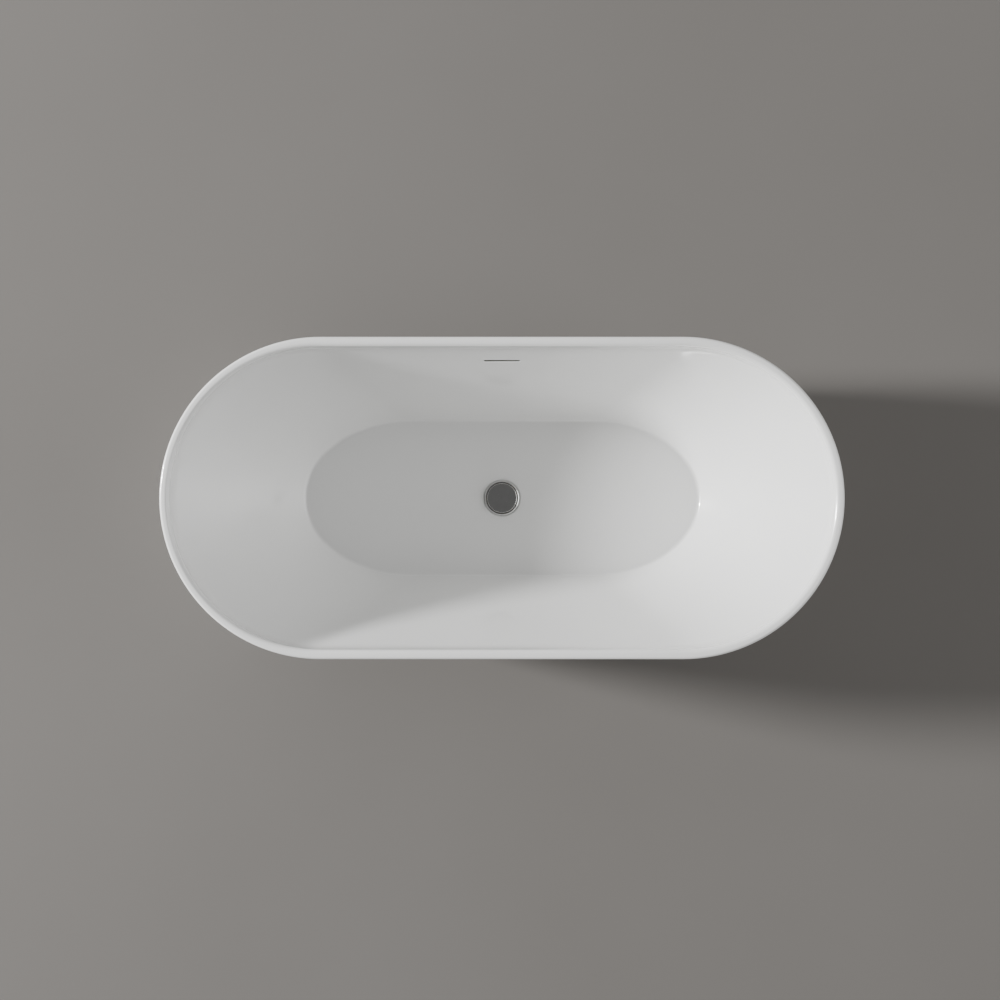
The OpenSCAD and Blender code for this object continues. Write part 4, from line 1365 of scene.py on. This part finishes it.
@dataclass
class Overflow(Assembly):
    """The overflow behind the slot, and its ribbed hose to the waste."""

    slot_y: float = 0.0
    slot_z: float = 480.0
    tilt: float = 0.0
    hose_n: float = 16.0
    hose_top: float = -55.0
    hose_r: float = 12.5
    hose_t: float = 2.3
    bend_r: float = 70.0
    port_z: float = 81.0
    end_y: float = 33.0
    cuff_l: float = 34.0
    rib_pitch: float = 5.0
    rib_depth: float = 0.9
    columns: int = 48

    def run(self) -> Grid:
        """The hose's middle line: down along the wall, round its bend, then level.

        Returns:
            Evenly spaced points from the overflow to the waste, 0.5 mm apart.
        """
        down = np.array([-math.sin(self.tilt), -math.cos(self.tilt)])
        top = np.array([
            self.slot_y + self.hose_n * math.cos(self.tilt) + self.hose_top * math.sin(self.tilt),
            self.slot_z - self.hose_n * math.sin(self.tilt) + self.hose_top * math.cos(self.tilt),
        ])
        turn = math.pi / 2 - self.tilt
        tangent = self.bend_r * math.tan(turn / 2)
        length = (top[1] - self.port_z) / math.cos(self.tilt) - tangent
        corner_y = top[0] - (top[1] - self.port_z) * math.tan(self.tilt)
        bend_y = corner_y - tangent
        upper = top + np.linspace(0, length, 300)[:, None] * down
        a = np.linspace(turn, 0, 120)[1:, None]
        middle = np.array([bend_y, self.port_z + self.bend_r])
        bend = middle + self.bend_r * np.concatenate([np.sin(a), -np.cos(a)], axis=1)
        lower = np.stack([np.linspace(bend_y, self.end_y, 60)[1:], np.full(59, self.port_z)], -1)
        rough = np.concatenate([upper, bend, lower])
        along = np.concatenate([[0], np.cumsum(np.linalg.norm(np.diff(rough, axis=0), axis=1))])
        even = np.arange(0, along[-1], 0.5)
        y = np.interp(even, along, rough[:, 0])
        z = np.interp(even, along, rough[:, 1])
        return np.stack([0 * even, y, z], -1)

    def hose(self) -> Surface:
        """The hose: smooth cuffs at both ends and ribs between them.

        The outer radius is r - depth (1 - cos(turn along / pitch)) / 2 between the cuffs.

        Returns:
            The hose's surface.
        """
        path = self.run()
        along = np.arange(len(path)) * 0.5
        ribbed = np.clip(np.minimum(along - self.cuff_l, along[-1] - self.cuff_l - along) / 3, 0, 1)
        wave = (1 - np.cos(TURN * (along - self.cuff_l) / self.rib_pitch)) / 2
        outer = self.hose_r - self.rib_depth * ribbed * wave
        inner = np.full(len(path), self.hose_r - self.hose_t + 0.05)
        aside = np.tile([1.0, 0.0, 0.0], (len(path), 1))
        skin = along_path(path, circle_section(outer, self.columns), aside)
        bore = along_path(path, circle_section(inner, self.columns), aside)[::-1]
        surface = Surface()
        numbers = surface.add_points(np.concatenate([skin, bore]))
        surface.join(numbers[:, ::-1], round_rows=True)
        return surface

    def build(self) -> None:
        """Builds the hose and dresses the rest."""
        self.place(
            self.hose(), "ribbed_hose", Finishes.HOSE_PLASTIC, "hose_plastic", Body.TUB.value,
            "overflow_hose", crease_deg=70.0,
        )
        self.keep(Finishes.RUBBER, "overflow_gasket")
        self.keep(Finishes.BLACK_PLASTIC, "overflow_box")
        self.keep(Finishes.ZINC, "overflow_studs", "overflow_nuts")
        self.keep(Finishes.ZINC, "hose_clamp_upper", "hose_clamp_lower", "hose_clamp_screws")


@dataclass
class Foot(Assembly):
    """One levelling foot: a threaded stud, a fluted pad and a thin sole."""

    corner: int = 1
    x: float = 430.0
    y: float = 215.0
    stud_r: float = 6.0
    stud_top: float = 133.0
    pad_r: float = 25.0
    pad_h: float = 22.0
    sole_t: float = 3.0
    neck_r: float = 13.0
    head_r: float = 8.0
    head_z: float = 6.0
    head_h: float = 3.0
    collar_z: float = 54.8
    collar_h: float = 8.0
    collar_flats: float = 8.48
    pitch: float = 1.75
    depth: float = 0.75
    slip: float = 0.1
    columns: int = 64

    def centre(self) -> Grid:
        """Where the foot stands: corners 1 and 2 are on the left, 1 and 3 at the front."""
        left = self.corner < 3
        front = self.corner % 2 == 1
        return np.array([-self.x if left else self.x, -self.y if front else self.y, 0.0])

    def thread(self, low: float, high: float) -> Grid:
        """A threaded length: r - depth times a soft triangle of (z / pitch - turn), cut by its ends.

        Args:
            low: where the thread starts.
            high: where it ends.

        Returns:
            Rows of points, climbing.
        """
        z = np.linspace(low, high, int((high - low) / self.pitch * 8) + 1)[:, None]
        t = np.arange(self.columns)[None, :] * TURN / self.columns
        phase = (z - low) / self.pitch - t / TURN
        wave = np.abs(2 * (phase - np.floor(phase + 0.5)))
        fade = np.clip(np.minimum(z - low, high - z) / self.pitch, 0, 1)
        r = self.stud_r - self.depth * fade * np.clip(wave * 1.3 - 0.15, 0, 1)
        return np.stack([r * np.cos(t), r * np.sin(t), z + 0 * t], axis=-1)

    def hexagon(self, flats: float, low: float, high: float) -> Grid:
        """A six-sided length whose corners are rounded off at both faces.

        Args:
            flats: half the distance across the flats.
            low: its underside.
            high: its top.

        Returns:
            Rows of points, climbing.
        """
        t = np.arange(self.columns) * TURN / self.columns
        near = np.abs((t + math.pi / 6) % (math.pi / 3) - math.pi / 6)
        six = flats / np.cos(near)
        shy = np.minimum(six, flats * 1.08)
        rows = [(shy, low), (six, low + 0.8), (six, high - 0.8), (shy, high)]
        return np.stack([np.stack([r * np.cos(t), r * np.sin(t), z + 0 * t], -1) for r, z in rows])

    def stud(self) -> Surface:
        """The stud: head, plain neck, thread, hexagon collar and thread again.

        Returns:
            The stud's surface.
        """
        neck = self.stud_r - 1
        top = self.stud_top
        head = turned(np.array([
            [self.head_r - 0.5, self.head_z], [self.head_r, self.head_z + 0.5],
            [self.head_r, self.head_z + self.head_h - 0.4], [self.head_r - 0.4, self.head_z + self.head_h],
            [neck, self.head_z + self.head_h], [neck, self.pad_h + 2],
        ]), self.columns)
        above = self.collar_z + self.collar_h
        tip = turned(np.array([[self.stud_r - 1, top]]), self.columns)
        rows = np.concatenate([
            head,
            self.thread(self.pad_h + 3, self.collar_z - 0.2),
            self.hexagon(self.collar_flats - 1, self.collar_z, above),
            self.thread(above + 0.2, top - 1),
            tip,
        ]) + self.centre()
        surface = Surface()
        numbers = surface.add_points(rows)
        surface.join(numbers)
        surface.cap(numbers[-1], upwards=True)
        surface.cap(numbers[0], upwards=False)
        return surface

    def pad(self) -> Surface:
        """The pad: a fluted cone on a round base, hollow for the stud's head.

        Returns:
            The pad's surface.
        """
        base = np.array([
            [self.pad_r - 1, self.sole_t], [self.pad_r, self.sole_t + 1], [self.pad_r, self.sole_t + 3.6],
            [self.pad_r - 0.6, self.sole_t + 4.2],
        ])
        t = np.linspace(0, 1, 9)[:, None]
        slope_foot = np.array([[self.pad_r - 0.6, self.sole_t + 4.2]])
        slope_head = np.array([[self.neck_r + 2, self.pad_h - 4]])
        slope = slope_foot * (1 - t) + slope_head * t
        socket = self.stud_r - 1 + self.slip
        top = np.array([
            [self.neck_r + 0.8, self.pad_h - 1], [self.neck_r, self.pad_h], [socket, self.pad_h],
            [socket, self.head_z + self.head_h + self.slip],
            [self.head_r + self.slip, self.head_z + self.head_h + self.slip],
            [self.head_r + self.slip, self.head_z - self.slip],
        ])
        rows = np.concatenate([
            turned(base, self.columns * 2),
            turned(slope[1:-1], self.columns * 2, flute=0.045, flutes=16),
            turned(np.concatenate([slope[-1:], top]), self.columns * 2),
        ]) + self.centre()
        surface = Surface()
        numbers = surface.add_points(rows)
        surface.join(numbers)
        surface.cap(numbers[-1], upwards=True)
        surface.cap(numbers[0], upwards=False)
        return surface

    def build(self) -> None:
        """Builds the stud and pad and dresses the sole."""
        n = self.corner
        self.place(
            self.stud(), f"threaded_stud_{n}", Finishes.ZINC, "zinc_steel", Body.stud(n), f"foot_stud_{n}",
            crease_deg=35.0,
        )
        self.place(
            self.pad(), f"fluted_pad_{n}", Finishes.BLACK_PLASTIC, "black_plastic", Body.pad(n),
            f"foot_pad_{n}",
        )
        self.keep(Finishes.RUBBER, f"foot_sole_{n}")


@dataclass
class Frame(Assembly):
    """The steel frame under the basin, with its floor board."""

    tube_w: float = 30.0
    tube_t: float = 2.0
    corner_r: float = 3.0
    rail_y: float = 125.0
    rail_z: float = 101.0
    inner_x: float = 150.0

    def tube(self, start: Grid, end: Grid) -> Surface:
        """A square tube with rounded corners between two points.

        Args:
            start: the middle of its first end.
            end: the middle of its other end.

        Returns:
            The tube's surface.
        """
        ahead = (end - start) / np.linalg.norm(end - start)
        aside = np.cross(ahead, [0, 0, 1.0])
        half, hollow = self.tube_w / 2, self.tube_w / 2 - self.tube_t
        outer = rounded([(-half, -half), (half, -half), (half, half), (-half, half)], self.corner_r, 5)
        inner = rounded([(-hollow, -hollow), (hollow, -hollow), (hollow, hollow), (-hollow, hollow)], 1.2, 5)
        run = start + np.linspace(0, 1, 9)[:, None] * (end - start)

        def carried(flat: Grid) -> Grid:
            """The section at each step along the tube."""
            across = flat[None, :, :1] * aside + flat[None, :, 1:] * np.array([0, 0, 1.0])
            return run[:, None] + across

        surface = Surface()
        numbers = surface.add_points(np.concatenate([carried(outer), carried(inner)[::-1]]))
        surface.join(numbers[:, ::-1], round_rows=True)
        return surface

    def build(self) -> None:
        """Builds the short tubes and dresses the frame's other pieces."""
        self.keep(Finishes.PLYWOOD, "floor_board")
        reach = self.rail_y - self.tube_w / 2
        z = self.rail_z + self.tube_w / 2
        for side, name in ((-1, "left"), (1, "right")):
            x = side * self.inner_x
            tube = self.tube(np.array([x, -reach, z]), np.array([x, reach, z]))
            self.place(
                tube, f"inner_tube_{name}", Finishes.COATED_STEEL, "coated_steel", Body.TUB.value,
                f"inner_cross_rail_{name}",
            )
        self.keep(
            Finishes.COATED_STEEL, "long_rail_front", "long_rail_back", "cross_rail_left", "cross_rail_right",
        )
        self.keep(Finishes.BLACK_PLASTIC, "rail_end_plugs")
        self.keep(
            Finishes.ZINC, "rail_board_screws", "bracket_rail_bolts", "bracket_ring_screws",
            "foot_weld_nuts", "foot_lock_nuts",
        )
        self.keep(Finishes.ZINC, *(f"skirt_bracket_{corner}" for corner in range(1, 5)))


# ---------- studio ----------


@dataclass(frozen=True)
class Softbox:
    """A round soft light, hung at a distance and turned to the tub."""

    name: str
    direction: Colour
    distance: float
    width: float
    watts: float

    def hang(self) -> None:
        """Puts the light into the scene, shining from its direction."""
        lamp = bpy.data.lights.new(self.name, "AREA")
        lamp.shape = "DISK"
        lamp.size = self.width
        lamp.energy = self.watts
        way = Vector(self.direction).normalized()
        made = bpy.data.objects.new(self.name, lamp)
        made.location = way * self.distance
        made.rotation_euler = way.to_track_quat("Z", "Y").to_euler()
        bpy.context.scene.collection.objects.link(made)


@dataclass
class Studio:
    """The floor, the lights and the camera."""

    floor_size: float = 40.0
    camera_height: float = 5.08
    lens: float = 65.4
    key: Softbox = Softbox("key", (-0.924, 0.110, 0.374), 13.0, 1.7, 4150.0)
    fill: Softbox = Softbox("fill", (0.80, 0.0, 0.60), 12.0, 10.0, 650.0)
    low_sky: float = 0.455
    high_sky: float = 0.13

    def floor(self) -> None:
        """Lays a plain pale floor."""
        half = self.floor_size / 2 / MM
        surface = Surface()
        x, y = np.meshgrid(np.linspace(-half, half, 9), np.linspace(-half, half, 9))
        surface.join(surface.add_points(np.stack([x, y, 0 * x - 0.5], -1)), round_columns=False)
        Finishes.dress(surface.piece("floor"), Finishes.FLOOR)

    def sky(self) -> None:
        """Gives the room even walls and a darker ceiling."""
        world = bpy.data.worlds.new("studio")
        world.use_nodes = True
        tree = NodeTree(world.node_tree)
        place = tree.add("ShaderNodeTexCoord")
        apart = tree.add("ShaderNodeSeparateXYZ", Vector=place.outputs["Generated"])
        share = tree.step(apart.outputs["Z"], 0.70, 0.90)
        rise = tree.sum("MULTIPLY", share, self.high_sky - self.low_sky)
        tree.feed(world.node_tree.nodes["Background"], "Strength", tree.sum("ADD", rise, self.low_sky))
        world.node_tree.nodes["Background"].inputs["Color"].default_value = (1.0, 1.0, 1.0, 1)
        bpy.context.scene.world = world

    def camera(self) -> None:
        """Sets the camera straight above the tub."""
        data = bpy.data.cameras.new("camera")
        data.lens = self.lens
        data.sensor_width = 36.0
        data.shift_x = -0.002
        data.shift_y = -0.002
        data.clip_end = 100.0
        camera = bpy.data.objects.new("camera", data)
        camera.location = (0, 0, self.camera_height)
        bpy.context.scene.collection.objects.link(camera)
        bpy.context.scene.camera = camera

    def build(self) -> None:
        """Sets up the whole studio."""
        bpy.context.scene.view_settings.view_transform = "AgX"
        self.floor()
        self.sky()
        for softbox in (self.key, self.fill):
            softbox.hang()
        self.camera()


def main() -> None:
    """Builds every part of the tub and its studio."""
    logging.basicConfig(level=logging.INFO, format="%(message)s")
    plan = Plan()
    form = BasinForm(plan)
    wall_back = float(form.wall_y(form.slot_z)) + Basin.wall_t
    overflow = Overflow(slot_y=wall_back, slot_z=form.slot_z, tilt=form.wall_tilt)
    feet = [Foot(corner=corner) for corner in range(1, 5)]
    for assembly in (Basin(form), Skirt(plan), Waste(), overflow, Frame(), *feet):
        assembly.build()
        assembly.report()
    Studio().build()


if __name__ == "__main__":
    main()
